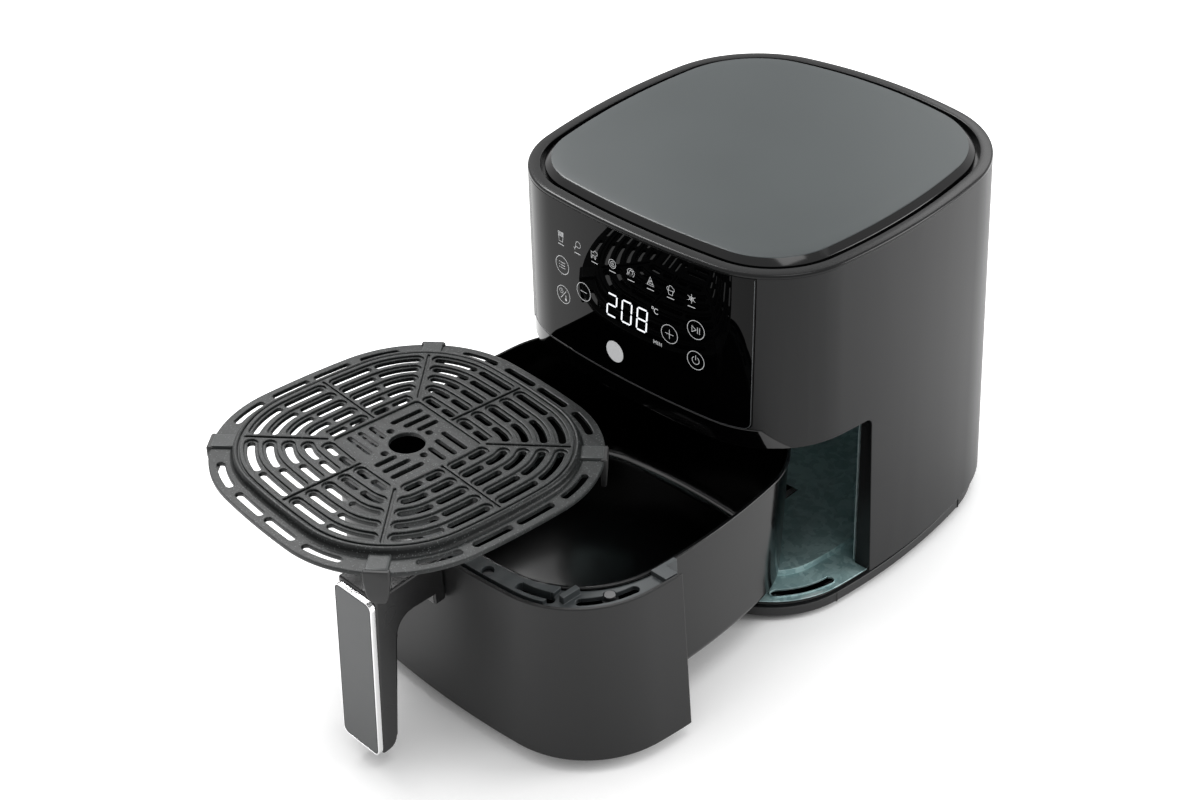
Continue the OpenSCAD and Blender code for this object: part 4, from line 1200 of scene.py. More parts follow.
@dataclass(frozen=True)
class Keys:
    """The six touch keys and their signs. Inside a sign, offsets are from its key's middle.

    Attributes:
        outer_x: Distance of the outer keys from the middle.
        step_x: Distance of the two step keys from the middle.
        upper_z: Height of the upper outer keys.
        lower_z: Height of the lower outer keys.
        middle_z: Height of the step keys.
        radius: Radius of a key's ring.
        line: Width of its lines.
    """

    outer_x: float = 59.3
    step_x: float = 38.3
    upper_z: float = 224.6
    lower_z: float = 202.0
    middle_z: float = 213.3
    radius: float = 6.6
    line: float = 0.42

    def draw(self, marks: Marks) -> None:
        """Draws the rings and their signs."""
        places = ((self.outer_x, self.upper_z), (self.outer_x, self.lower_z), (self.step_x, self.middle_z))
        for side in (-1.0, 1.0):
            for x, z in places:
                marks.ring(side * x, z, self.radius, self.line)
        self.list_sign(marks, -self.outer_x, self.upper_z)
        self.time_and_heat_sign(marks, -self.outer_x, self.lower_z)
        self.step_signs(marks)
        self.start_sign(marks, self.outer_x, self.upper_z)
        self.power_sign(marks, self.outer_x, self.lower_z)

    def list_sign(self, marks: Marks, x: float, middle: float) -> None:
        """Draws three rows, each with a dot before it."""
        for row in (-1, 0, 1):
            z = middle + row * 2.0
            marks.spot(x - 2.9, z, 0.35)
            marks.stroke([(x - 1.7, z), (x + 3.0, z)], self.line)

    def time_and_heat_sign(self, marks: Marks, x: float, z: float) -> None:
        """Draws a small clock and a thermometer on the two sides of a slash."""
        marks.stroke([(x - 2.9, z - 3.5), (x + 2.9, z + 3.5)], self.line)
        fine = self.line * 0.8
        marks.ring(x - 2.2, z + 2.2, 1.8, fine)
        marks.stroke([(x - 2.2, z + 3.3), (x - 2.2, z + 2.2), (x - 1.4, z + 1.9)], fine)
        marks.spot(x + 2.4, z - 3.2, 1.0)
        marks.stroke([(x + 2.4, z - 3.2), (x + 2.4, z + 0.2)], self.line * 1.4)

    def step_signs(self, marks: Marks) -> None:
        """Draws the minus on the left step key and the plus on the right one."""
        x, z, minus, plus = self.step_x, self.middle_z, 3.1, 3.4
        marks.stroke([(-x - minus, z), (-x + minus, z)], self.line)
        marks.stroke([(x - plus, z), (x + plus, z)], self.line)
        marks.stroke([(x, z - plus), (x, z + plus)], self.line)

    def start_sign(self, marks: Marks, x: float, z: float) -> None:
        """Draws a triangle and two bars, for start and pause."""
        marks.stroke([(x - 3.0, z - 2.2), (x - 3.0, z + 2.2), (x + 0.2, z)], self.line, True)
        for bar in (x + 1.3, x + 2.9):
            marks.stroke([(bar, z - 2.3), (bar, z + 2.3)], self.line)

    def power_sign(self, marks: Marks, x: float, z: float) -> None:
        """Draws an open ring with a bar in its gap."""
        marks.ring(x, z, 2.8, self.line, 120.0, 420.0)
        marks.stroke([(x, z + 0.3), (x, z + 3.7)], self.line)


class Sign(Enum):
    """Cooking pictograms, in the order of the row."""

    CHIPS = "chips"
    DRUMSTICK = "drumstick"
    CUTLET = "cutlet"
    ROUND_STEAK = "round_steak"
    PRAWN = "prawn"
    SLICE = "slice"
    BUN = "bun"
    THAW = "thaw"

    def lines(self) -> list[tuple[Loop2, bool]]:
        """Returns the pictogram's lines within a square of side two, each with whether it is closed."""
        if self is Sign.CHIPS:
            sticks = [
                ([(x, 0.1), (x * 1.25, 0.95), (x * 1.25 + 0.2, 0.95), (x + 0.2, 0.1)], False)
                for x in (-0.55, -0.2, 0.15, 0.4)
            ]
            return [([(-0.65, 0.15), (-0.45, -0.95), (0.45, -0.95), (0.65, 0.15)], True)] + sticks
        if self is Sign.DRUMSTICK:
            return [
                (arc(0.25, 0.25, 0.62, -140.0, 170.0, 14) + [(-0.5, -0.45)], False),
                ([(-0.2, -0.2), (-0.75, -0.75), (-0.95, -0.6)], False),
                ([(-0.75, -0.75), (-0.6, -0.95)], False),
            ]
        if self is Sign.CUTLET:
            upper = [(-0.8, 0.5), (-0.3, 0.35), (0.1, 0.8), (0.7, 0.6), (0.75, 0.1), (0.35, -0.1)]
            lower = [(0.3, -0.8), (0.0, -0.8), (-0.05, -0.25), (-0.5, -0.2), (-0.6, -0.8), (-0.8, -0.8)]
            return [(upper + lower, True)]
        if self is Sign.ROUND_STEAK:
            return [
                (arc(0.0, 0.0, 0.85, 0.0, 340.0, 18), True),
                (arc(0.1, 0.0, 0.5, 60.0, 340.0, 12), False),
                (arc(0.1, 0.0, 0.2, 0.0, 320.0, 8), True),
            ]
        if self is Sign.PRAWN:
            return [
                (arc(0.0, 0.0, 0.8, -60.0, 190.0, 14), False),
                (arc(0.0, 0.0, 0.4, -50.0, 190.0, 10), False),
                ([(-0.4, -0.1), (-0.8, -0.15), (-0.95, -0.6), (-0.55, -0.45)], True),
                ([(0.3, 0.3), (0.6, 0.55)], False),
                ([(0.0, 0.42), (0.0, 0.8)], False),
            ]
        if self is Sign.SLICE:
            return [
                ([(-0.75, -0.75), (0.75, -0.75), (0.0, 0.9)], True),
                ([(-0.55, -0.4), (0.55, -0.4)], False),
                (arc(-0.15, -0.05, 0.14, 0.0, 315.0, 7), True),
                (arc(0.15, 0.2, 0.12, 0.0, 315.0, 7), True),
            ]
        if self is Sign.BUN:
            left, middle = arc(-0.45, 0.2, 0.36, 90.0, 260.0, 7), arc(0.0, 0.5, 0.4, 150.0, 30.0, 7)
            right = arc(0.45, 0.2, 0.36, 90.0, -80.0, 7)
            return [
                ([(-0.55, -0.1), (-0.4, -0.9), (0.4, -0.9), (0.55, -0.1)], True),
                (left + middle[1:] + right, False),
            ]
        ends = [(0.9 * math.cos(t), 0.9 * math.sin(t)) for t in (0.52, 1.57, 2.62)]
        spokes = [([(-x, -z), (x, z)], False) for x, z in ends]
        return spokes + [(arc(0.0, 0.0, 0.42, 0.0, 300.0, 6), True)]


@dataclass(frozen=True)
class Display:
    """The lit figures, their unit marks, the pictograms and the bare disc.

    Attributes:
        figures: The figures shown.
        first_x: Middle of the first figure.
        pitch: Distance between the figures.
        middle_z: Height of their middle.
        half_w: Half width of a figure.
        half_h: Its half height.
        line: Width of a bar.
        slant: Lean of the figures for each unit of height.
        row_z: Height of the row of pictograms.
        sign_half: Half size of a pictogram.
        sign_line: Width of its lines.
        first_sign_x: Middle of the first pictogram.
        sign_pitch: Distance between the pictograms.
        degree_at: Middle of the degree ring.
        celsius_at: Middle of the letter beside it.
        minutes_at: Lower left corner of the minutes mark.
        letter_h: Height of that mark.
        unit_line: Width of the unit marks' lines.
        disc_at: Middle of the bare disc.
        disc_r: Its radius.
    """

    figures: tuple[int, ...] = (2, 0, 8)
    first_x: float = -11.4
    pitch: float = 13.3
    middle_z: float = 214.6
    half_w: float = 4.1
    half_h: float = 8.3
    line: float = 1.25
    slant: float = 0.09
    row_z: float = 246.0
    sign_half: float = 3.7
    sign_line: float = 0.34
    first_sign_x: float = -59.6
    sign_pitch: float = 16.5
    degree_at: Point2 = (24.6, 227.6)
    celsius_at: Point2 = (27.8, 225.9)
    minutes_at: Point2 = (25.2, 201.2)
    letter_h: float = 2.6
    unit_line: float = 0.5
    disc_at: Point2 = (-9.8, 179.6)
    disc_r: float = 7.8

    def bars(self, figure: int) -> list[tuple[Point2, Point2]]:
        """Returns the lit bars of a seven-bar figure, as pairs of ends."""
        w, h = self.half_w, self.half_h
        all_bars = (
            ((-w, h), (w, h)),
            ((w, h), (w, 0.0)),
            ((w, 0.0), (w, -h)),
            ((-w, -h), (w, -h)),
            ((-w, 0.0), (-w, -h)),
            ((-w, h), (-w, 0.0)),
            ((-w, 0.0), (w, 0.0)),
        )
        lit = {0: (0, 1, 2, 3, 4, 5), 2: (0, 1, 6, 4, 3), 8: range(7)}[figure]
        return [all_bars[i] for i in lit]

    def draw_figures(self, marks: Marks) -> None:
        """Draws the lit figures with pointed bars."""
        for place, figure in enumerate(self.figures):
            middle = Vector((self.first_x + place * self.pitch, self.middle_z))
            for start, end in self.bars(figure):
                a, b = Vector(start), Vector(end)
                along = (b - a).normalized()
                across = Vector((-along.y, along.x)) * self.line / 2
                tip = along * 0.3
                slope = along * (self.line / 2)
                near, far = a + tip, b - tip
                outline = (
                    near,
                    near + slope + across,
                    far - slope + across,
                    far,
                    far - slope - across,
                    near + slope - across,
                )
                marks.fill([(middle.x + p.x + p.y * self.slant, middle.y + p.y) for p in outline])

    def draw_units(self, marks: Marks) -> None:
        """Draws the degree and minute marks beside the figures."""
        marks.ring(*self.degree_at, 0.8, self.unit_line)
        marks.ring(*self.celsius_at, 1.9, 0.6, 50.0, 310.0)
        x, low = self.minutes_at
        high = low + self.letter_h
        for line in (
            [(x, low), (x, high), (x + 1.1, low + 1.0), (x + 2.2, high), (x + 2.2, low)],
            [(x + 3.4, low), (x + 3.4, high)],
            [(x + 4.6, low), (x + 4.6, high), (x + 6.4, low), (x + 6.4, high)],
        ):
            marks.stroke(line, self.unit_line)

    def draw_signs(self, marks: Marks) -> None:
        """Draws the row of pictograms, each over a plain dash."""
        for place, sign in enumerate(Sign):
            x = self.first_sign_x + place * self.sign_pitch
            for line, closed in sign.lines():
                points = [(x + a * self.sign_half, self.row_z + b * self.sign_half) for a, b in line]
                marks.stroke(points, self.sign_line, closed)
            marks.stroke([(x - 2.9, self.row_z - 5.8), (x + 2.9, self.row_z - 5.8)], 0.55)

    def draw_disc(self, marks: Marks) -> None:
        """Draws the bare disc under the figures."""
        marks.spot(*self.disc_at, self.disc_r)


@dataclass(frozen=True)
class Panel:
    """Glass touch panel, the lip under it, its print and what stands behind it.

    Attributes:
        half_w: Half width of the glass.
        low: Height of its lower edge.
        high: Height of its upper edge.
        corner_r: Radius of its lower corners.
        glass_t: Thickness of the glass.
        glass_grow: How far the glass stands proud of the shell.
        lip_low: Half width of the lip at its lower edge.
        lip_high: Half width of the lip under the glass.
        lip_base: Height of the lip's lower edge.
        lip_depth: Depth of the lip.
        across: Facets across a plate.
        print_grow: How far the print stands proud of the glass.
        edge_grow: How far the edge line, a highlight painted along the glass's bevel, stands proud.
        edge_inset: Inset of that line from the glass's edge.
        edge_line: Its width.
    """

    half_w: float = 98.0
    low: float = 161.5
    high: float = 271.7
    corner_r: float = 5.0
    glass_t: float = 2.3
    glass_grow: float = 0.15
    lip_low: float = 118.5
    lip_high: float = 103.2
    lip_base: float = 147.5
    lip_depth: float = 9.0
    across: int = 56
    print_grow: float = 0.05
    edge_grow: float = 0.03
    edge_inset: float = 0.5
    edge_line: float = 0.28

    def build(self, bench: Bench) -> None:
        """Builds and dresses the pieces."""
        self.glass(bench)
        self.lip(bench)
        self.prints(bench)
        bench.dress(Surface.BOARD, "display_board")
        bench.dress(Surface.PALE, "display_module")
        bench.dress(Surface.STEEL, "touch_springs")

    def glass(self, bench: Bench) -> None:
        """Builds the bent glass with its rounded lower corners."""
        r = self.corner_r
        foot, straight, count = self.low + r, self.half_w - r, 24
        turns = [math.radians(90.0 * i / 5) for i in range(6)]
        rows = [(foot - r * math.cos(t), straight + r * math.sin(t)) for t in turns]
        rows += [(foot + (self.high - self.low - r) * i / count, self.half_w) for i in range(1, count + 1)]
        piece = self.front_plate(bench, "front_glass", rows, self.glass_grow, self.glass_t, Surface.GLASS)
        soften(piece, 0.45, 3, CREASE_DEG)

    def lip(self, bench: Bench) -> None:
        """Builds the glossy lip with slanted ends."""
        count = 6
        rise, narrowing = self.low - 0.3 - self.lip_base, self.lip_high - self.lip_low
        rows = [
            (self.lip_base + rise * i / count, self.lip_low + narrowing * i / count)
            for i in range(count + 1)
        ]
        piece = self.front_plate(bench, "front_lip", rows, -0.2, self.lip_depth, Surface.LIP)
        soften(piece, 0.6, 3, CREASE_DEG)

    def front_plate(
        self, bench: Bench, node: str, rows: Sequence[Point2], grow: float, depth: float, surface: Surface
    ) -> bpy.types.Object:
        """Builds a bent plate on the housing's front.

        Args:
            bench: The bench.
            node: The node that it stands for.
            rows: Pairs of height and half width, from low to high.
            grow: How far it stands proud.
            depth: Its thickness.
            surface: Its finish.

        Returns:
            The new piece.
        """
        shares = [2.0 * i / self.across - 1.0 for i in range(self.across + 1)]
        outer, inner = (
            [[(s * w, BODY.front_y(s * w, spread(z) + reach), z) for s in shares] for z, w in rows]
            for reach in (grow, grow - depth)
        )
        return bench.draw(f"{node}_plate", walled(outer, inner), bench.housing, node, surface)

    def prints(self, bench: Bench) -> None:
        """Draws the white print, the lit figures and a thin grey line painted along the glass's edges as a
        highlight.
        """
        white = Marks(self.glass_grow + self.print_grow)
        Keys().draw(white)
        show = Display()
        show.draw_signs(white)
        show.draw_units(white)
        show.draw_disc(white)
        lit = Marks(self.glass_grow + self.print_grow)
        show.draw_figures(lit)
        # The edge line is a painted highlight along the glass's bevel.
        edge = Marks(self.glass_grow + self.edge_grow)
        w, r = self.half_w, self.corner_r
        side = [(w - self.edge_inset, self.high - 1.0), (w - self.edge_inset, self.low + r)]
        half = side + arc(w - r, self.low + r, r - self.edge_inset, 0.0, -90.0, 6)
        edge.long_stroke(half + [(-x, z) for x, z in reversed(half)], self.edge_line)
        for name, marks, surface in (
            ("panel_print", white, Surface.PRINT),
            ("panel_figures", lit, Surface.DIGITS),
            ("glass_edge_painted_highlight", edge, Surface.GLASS_EDGE_HIGHLIGHT),
        ):
            bench.draw(name, marks.draft, bench.housing, "front_glass", surface, stands_for=False)


# --------------------------------------------------------------------------- oven


@dataclass(frozen=True)
class Oven:
    """Steel oven, heater, fans, motor and the parts over the inner deck.

    Attributes:
        sheet_edge: Rounding of the pressed sheet's edges.
    """

    sheet_edge: float = 0.2

    def build(self, bench: Bench) -> None:
        """Dresses the pieces."""
        bench.rounded("oven_floor", Surface.ZINC, self.sheet_edge)
        bench.dress(Surface.ZINC, "oven_liner", "oven_ceiling")
        bench.dress(Surface.BRIGHT, "heater_dome", "element_clips", "hot_fan", "motor_bridge")
        bench.dress(Surface.HEATER, "heating_element")
        bench.dress(Surface.STEEL, "element_guard", "motor_shaft", "motor_body")
        bench.dress(Surface.STEEL, "temperature_sensor", "switch_lever")
        bench.dress(Surface.SCREW, "fan_nut", "motor_screws")
        bench.dress(Surface.BLACK, "cooling_fan", "relay", "filter_capacitor", "door_switch")
        bench.dress(Surface.PALE, "thermostat", "thermal_fuse", "transformer")
        bench.dress(Surface.BOARD, "power_board")
        bench.dress(Surface.WOOL, "insulation_pad")


# --------------------------------------------------------------------------- drawer


@dataclass(frozen=True)
class Drawer:
    """Pan, front shell, bracket and their fixings.

    Attributes:
        pan_base: Height of the pan's bottom.
        pan_draft: Narrowing of the pan from rim to bottom.
        pan_wall: Wall of the pan.
        fillet: Outer radius at the pan's bottom.
        inner_fillet: Inner radius at the pan's bottom.
        front_low: Height of the front shell's lower edge.
        front_high: Height of its upper edge.
        front_end: Depth at which the front shell ends.
        bead_r: Radius of the rim's rolled bead.
        lip_r: Radius of the rim's inner lip.
        floor_ring: Width of the floor's outer ring.
    """

    pan_base: float = 39.5
    pan_draft: float = 5.5
    pan_wall: float = 1.5
    fillet: float = 7.0
    inner_fillet: float = 9.0
    front_low: float = 22.0
    front_high: float = 145.2
    front_end: float = -51.2
    bead_r: float = 0.9
    lip_r: float = 0.5
    floor_ring: float = 12.0

    def build(self, bench: Bench) -> None:
        """Builds and dresses the pieces."""
        self.pan(bench)
        self.front(bench)
        bench.rounded("front_bracket", Surface.BRACKET, 0.3)
        bench.dress(Surface.SCREW, "bracket_screws", "handle_screws")
        bench.dress(Surface.PAN, "pan_lugs")
        bench.dress(Surface.RUBBER, "pan_skids")

    def pan(self, bench: Bench) -> None:
        """Builds the drawn pan with its rolled rim, and a painted highlight band on its inner floor fillet.
        """
        draft_in, wall = -self.pan_draft, self.pan_wall
        floor = self.pan_base + wall
        outer = arc(draft_in - self.fillet, self.pan_base + self.fillet, self.fillet, -90.0, 0.0, 7)
        bead = arc(PAN_BEAD - self.bead_r, PAN_RIM_Z - self.bead_r, self.bead_r, -60.0, 90.0, 6)
        lip = arc(-PAN_BEAD, PAN_RIM_Z - self.lip_r, self.lip_r, 90.0, 180.0, 3)
        reach = draft_in - wall - self.inner_fillet
        inner = arc(reach, floor + self.inner_fillet, self.inner_fillet, 0.0, -90.0, 9)
        rim = [(-0.1, PAN_RIM_Z - 1.9)] + bead + lip
        draft = swept(PAN_RIM.loop(STEP), outer + rim + inner + [(reach - self.floor_ring, floor)], False)
        piece = bench.draw("pan_drawn", draft, bench.drawer, "pan_shell", Surface.PAN)
        low = bench.drawer.translation.z + floor * MM
        high = low + self.inner_fillet * MM
        # The inner floor fillet gets a lighter, glossier copy of the coating as a painted highlight band.
        paint(piece, Surface.PAN_CORNER_HIGHLIGHT, lambda f: f.normal.z > 0.1 and low + 0.1 * MM < f.center.z < high)

    def front(self, bench: Bench) -> None:
        """Builds the front shell, which stops at the opening's jambs."""
        count = 14
        rise = self.front_high - self.front_low
        heights = [self.front_low + rise * i / count for i in range(count + 1)]
        outer, inner = ([self.front_row(z, grow) for z in heights] for grow in (0.0, -WALL))
        draft = walled(outer, inner)
        piece = bench.draw("drawer_front", draft, bench.drawer, "front_shell", Surface.DRAWER)
        soften(piece, 0.8, 3, CREASE_DEG)

    def front_row(self, z: float, grow: float) -> list[Point3]:
        """Returns the front shell's row of points at a height, from left to right."""
        reach = spread(z) + grow
        kept = [s.at(reach) for s in BODY.right_half(STEP) if s.at(0.0)[1] < self.front_end - STEP]
        kept.append((BODY.side_x(self.front_end, reach), self.front_end))
        return [(-x, y, z) for x, y in reversed(kept[1:])] + [(x, y, z) for x, y in kept]


@dataclass(frozen=True)
class Handle:
    """Moulded handle with its bright trim and satin insert.

    Attributes:
        body_edge: Rounding of the moulding's edges.
        half_w: Half width of the trim.
        low: Height of the trim's lower end.
        high: Height of its upper end.
        slope: Forward lean of the grip for each unit of height.
        trim_t: Thickness of the trim.
        border: Width of the trim's face around the insert.
        gap: Dark gap around the insert.
        corner_r: Radius of the trim's corners.
        trim_edge: Rounding of the trim's edges.
        insert_low: Depth of the insert's back below the trim's face.
        insert_high: Depth of the insert's face.
        insert_edge: Rounding of the insert's edges.
    """

    body_edge: float = 1.5
    half_w: float = 17.7
    low: float = 25.5
    high: float = 144.5
    slope: float = 0.1
    trim_t: float = 3.6
    border: float = 1.1
    gap: float = 0.4
    corner_r: float = 5.0
    trim_edge: float = 0.45
    insert_low: float = 2.3
    insert_high: float = 0.15
    insert_edge: float = 0.35

    def build(self, bench: Bench) -> None:
        """Builds and dresses the pieces."""
        bench.rounded("handle_body", Surface.HANDLE, self.body_edge, 4)
        top_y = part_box("handle_trim")[1].y - bench.drawer.translation.y - self.trim_t * MM
        foot_y = top_y - self.slope * self.high * MM
        face = Matrix(((1, 0, 0, 0), (0, self.slope, -1, foot_y), (0, 1, 0, 0), (0, 0, 0, 1)))
        stand = bench.drawer @ face
        band = [self.loop(0.0), self.loop(self.border)]
        trim = sheet_mesh("handle_trim_band", band, -self.trim_t, 0.0, self.trim_edge, stand)
        even_shading(bench.add("handle_trim_band", trim, "handle_trim", Surface.CHROME))
        inner = [self.loop(self.border + self.gap)]
        panel = sheet_mesh(
            "handle_insert_panel", inner, -self.insert_low, -self.insert_high, self.insert_edge, stand
        )
        even_shading(bench.add("handle_insert_panel", panel, "handle_insert", Surface.INSERT))

    def loop(self, inset: float) -> Loop2:
        """Returns the trim's rounded outline, moved inwards by `inset`."""
        x = self.half_w - self.corner_r
        z = (self.low + self.corner_r, self.high - self.corner_r)
        return rounded_box((-x, x), z, self.corner_r - inset, 6)


@dataclass(frozen=True)
class Plate:
    """Crisper plate with its slots and ribs, and its corner feet.

    Attributes:
        place: The plate's middle, in millimetres from the housing's.
        tilt: Its forward rise, in degrees.
        turn: Its turn about the vertical, in degrees.
        flange_t: Thickness of the flange.
        field_top: Height of the slotted field.
        rib_top: Height of the ribs.
        row_inset: Inset of the first row of slots.
        row_pitch: Distance between the rows.
        rows: Number of rows.
        slot_half: Half width of a slot.
        slot_step_deg: Longest turn between two points of a slot.
        trough_half: Half width of the trough around a row.
        spoke_half: Half width of a spoke.
        spoke_gap: Distance from a spoke to the centre of a slot's end.
        bridge_half: Distance from the middle of a bridge to the centre of a slot's end.
        core_half: Half width of the square in the middle.
        core_corner_r: Radius of that square's corners.
        opening_inset: Inset of the flange's opening, where the field begins.
        rib_inset: Inset of the ribs' outline.
        flange_slot_inset: Inset of the flange's slots.
        flange_slot_half: Their half width.
        flange_slots: Ends of the slots on a quarter of the flange, in degrees from its middle.
        hub_r: Radius of the hole in the middle.
        eye_r: Radius of the four small holes around it.
        eye_place: Distance of their centres from the middle.
        bar_half: Half width of the bars' openings in the middle square.
        bar_end: Where those openings end.
        bars: Side place and start of each of them.
        groove_half: Half width of the grooves along the spokes.
        bead_outer_r: Radius of the bead's outer brow.
        bead_inner_r: Radius of its inner one.
        seat_half: Half width of the seat over a foot.
        seat_far: Distance of the seat's outer end from the rim.
        seat_near: Distance of its inner end.
        seat_rise: Height of the seat over the flange.
        flange_edge: Rounding of the flange's edges.
        field_edge: Rounding of the edges of the field's slots.
        rib_edge: Rounding of the ribs' edges.
        seat_edge: Rounding of the seats' edges.
        foot_low: Height of the feet's lower ends.
        foot_r: Radius of a foot's upright edges.
        foot_tab: Inner and outer end of a foot's tab from the rim, and its half width.
    """

    place: Point3 = (-41.0, -290.0, 170.0)
    tilt: float = 3.8
    turn: float = -3.5
    flange_t: float = 3.0
    field_top: float = 7.0
    rib_top: float = 8.3
    row_inset: float = 26.5
    row_pitch: float = 11.6
    rows: int = 5
    slot_half: float = 2.3
    slot_step_deg: float = 3.0
    trough_half: float = 4.2
    spoke_half: float = 3.2
    spoke_gap: float = 3.4
    bridge_half: float = 3.6
    core_half: float = 33.0
    core_corner_r: float = 3.0
    opening_inset: float = 16.0
    rib_inset: float = 19.3
    flange_slot_inset: float = 7.5
    flange_slot_half: float = 2.4
    flange_slots: tuple[Point2, ...] = ((-33.0, -21.5), (-15.0, -2.5), (2.5, 15.0), (21.5, 33.0))
    hub_r: float = 11.5
    eye_r: float = 2.4
    eye_place: float = 17.2
    bar_half: float = 1.8
    bar_end: float = 27.6
    bars: tuple[Point2, ...] = ((7.0, 15.2), (15.4, 11.0), (23.6, 7.0))
    groove_half: float = 0.8
    bead_outer_r: float = 1.9
    bead_inner_r: float = 1.2
    seat_half: float = 6.6
    seat_far: float = 0.6
    seat_near: float = 17.5
    seat_rise: float = 2.0
    flange_edge: float = 0.6
    field_edge: float = 0.5
    rib_edge: float = 0.6
    seat_edge: float = 1.1
    foot_low: float = -19.0
    foot_r: float = 1.2
    foot_tab: Point3 = (9.0, 2.0, 7.0)

    def build(self, bench: Bench) -> None:
        """Builds the pieces."""
        turn = Matrix.Rotation(math.radians(self.turn), 4, "Z")
        tilt = Matrix.Rotation(math.radians(-self.tilt), 4, "X")
        stand = bench.housing @ Matrix.Translation(Vector(self.place) * MM) @ turn @ tilt
        top = self.field_top
        parts = [
            sheet_mesh("flange", self.flange_loops(), 0.0, self.flange_t, self.flange_edge, stand),
            sheet_mesh("field", self.field_loops(), top - self.flange_t, top, self.field_edge, stand),
            sheet_mesh("ribs", self.rib_loops(), top - 0.8, self.rib_top, self.rib_edge, stand),
            self.bead().mesh("bead", stand),
        ]
        seat_top = self.flange_t + self.seat_rise
        for q in CORNERS:
            parts.append(sheet_mesh("seat", [self.seat_loop(q)], 0.6, seat_top, self.seat_edge, stand))
        plate = joined("crisper_plate_pressed", parts)
        even_shading(bench.add("crisper_plate_pressed", plate, "crisper_plate", Surface.PLATE))
        feet = Draft()
        for q in CORNERS:
            self.foot(feet, q)
        soften(bench.draw("plate_feet_moulded", feet, stand, "plate_feet", Surface.SILICONE), 0.5, 2, 40.0)

    def rim(self, grow: float) -> Loop2:
        """Returns the plate's outline grown by `grow`."""
        return [station.at(grow) for station in PLATE_RIM.loop(PLATE_STEP)]

    def slot(self, inset: float, half_w: float, start: float, end: float) -> Loop2:
        """Outlines a rounded slot that follows the rim.

        Args:
            inset: Distance of its middle line from the rim.
            half_w: Its half width.
            start: Direction of one end's centre, in degrees.
            end: Direction of the other end's centre, in degrees.

        Returns:
            The closed outline.
        """
        steps = max(2, math.ceil((end - start) / self.slot_step_deg))
        turns = [start + (end - start) * i / steps for i in range(steps + 1)]
        outer = [PLATE_RIM.toward(half_w - inset, t) for t in turns]
        inner = [PLATE_RIM.toward(-half_w - inset, t) for t in turns]
        loop = list(outer)
        facets = 7
        for here, sign, line in ((-1, 1.0, list(reversed(inner))), (0, -1.0, [])):
            middle = (outer[here] + inner[here]) / 2
            across = (outer[here] - inner[here]).normalized() * half_w * sign
            along = Vector((-across.y, across.x))
            bends = (math.pi * k / facets for k in range(1, facets))
            loop += [middle + across * math.cos(t) + along * math.sin(t) for t in bends]
            loop += line
        return [(p.x, p.y) for p in loop]

    def row_slots(self, row: int, q: float) -> tuple[float, float, float]:
        """Finds where a row of slots stops in one eighth of the field.

        Args:
            row: Number of the row, from the rim inwards.
            q: Direction of the eighth's first spoke, in degrees.

        Returns:
            The row's inset, and the angles that its spoke and its middle bridge take.
        """
        inset = self.row_inset + row * self.row_pitch
        reach = PLATE_RIM.toward(-inset, q + HALF_EIGHTH).length
        spoke = math.degrees(math.asin((self.spoke_half + self.spoke_gap) / reach))
        return inset, spoke, math.degrees(math.asin(self.bridge_half / reach))

    def flange_loops(self) -> list[Loop2]:
        """Returns the flange's outline, its opening and its slots."""
        return [self.rim(0.0), self.rim(-self.opening_inset)] + [
            self.slot(self.flange_slot_inset, self.flange_slot_half, q + start, q + end)
            for q in QUARTERS
            for start, end in self.flange_slots
        ]

    def bar(self, start: float, end: float, side: float, half_w: float, steps: int) -> Loop2:
        """Outlines a straight round-ended opening along X.

        Args:
            start: X of one end's centre.
            end: X of the other end's centre.
            side: Y of its middle line.
            half_w: Its half width.
            steps: Facets in an end.

        Returns:
            The closed outline.
        """
        return arc(end, side, half_w, -90.0, 90.0, steps) + arc(start, side, half_w, 90.0, 270.0, steps)

    def field_loops(self) -> list[Loop2]:
        """Returns the field's outline and everything that is cut through it."""
        loops = [self.rim(-self.opening_inset)]
        for row in range(self.rows):
            for q in EIGHTHS:
                inset, edge, mid = self.row_slots(row, q)
                loops.append(self.slot(inset, self.slot_half, q + edge, q + HALF_EIGHTH - mid))
                loops.append(self.slot(inset, self.slot_half, q + HALF_EIGHTH + mid, q + 45 - edge))
        loops.append(arc(0.0, 0.0, self.hub_r, 0.0, 360.0, 40)[:-1])
        eye = arc(self.eye_place, 0.0, self.eye_r, 0.0, 360.0, 14)[:-1]
        bars = [self.bar(start, self.bar_end, side, self.bar_half, 6) for side, start in self.bars]
        for q in QUARTERS:
            loops += [[self.turned(x, y, q) for x, y in opening] for opening in (eye, *bars)]
        return loops

    def rib_loops(self) -> list[Loop2]:
        """Returns the ribs' outline, the troughs around the rows, the spokes' grooves and the middle."""
        loops = [self.rim(-self.rib_inset)]
        for q in EIGHTHS:
            for row in range(self.rows):
                inset, edge, _ = self.row_slots(row, q)
                loops.append(self.slot(inset, self.trough_half, q + edge, q + 45 - edge))
            start = (self.core_half + 1.6) * (math.sqrt(2.0) if q % 90 else 1.0) + 1.0
            end = PLATE_RIM.toward(-22.0, q).length
            groove = self.bar(start, end, 0.0, self.groove_half, 4)
            loops.append([self.turned(x, y, q) for x, y in groove])
        centre = self.core_half - self.core_corner_r
        return loops + [rounded_box((-centre, centre), (-centre, centre), self.core_corner_r, 4)]

    def turned(self, x: float, y: float, angle_deg: float) -> Point2:
        """Returns a point turned about the plate's middle."""
        c, s = math.cos(math.radians(angle_deg)), math.sin(math.radians(angle_deg))
        return x * c - y * s, x * s + y * c

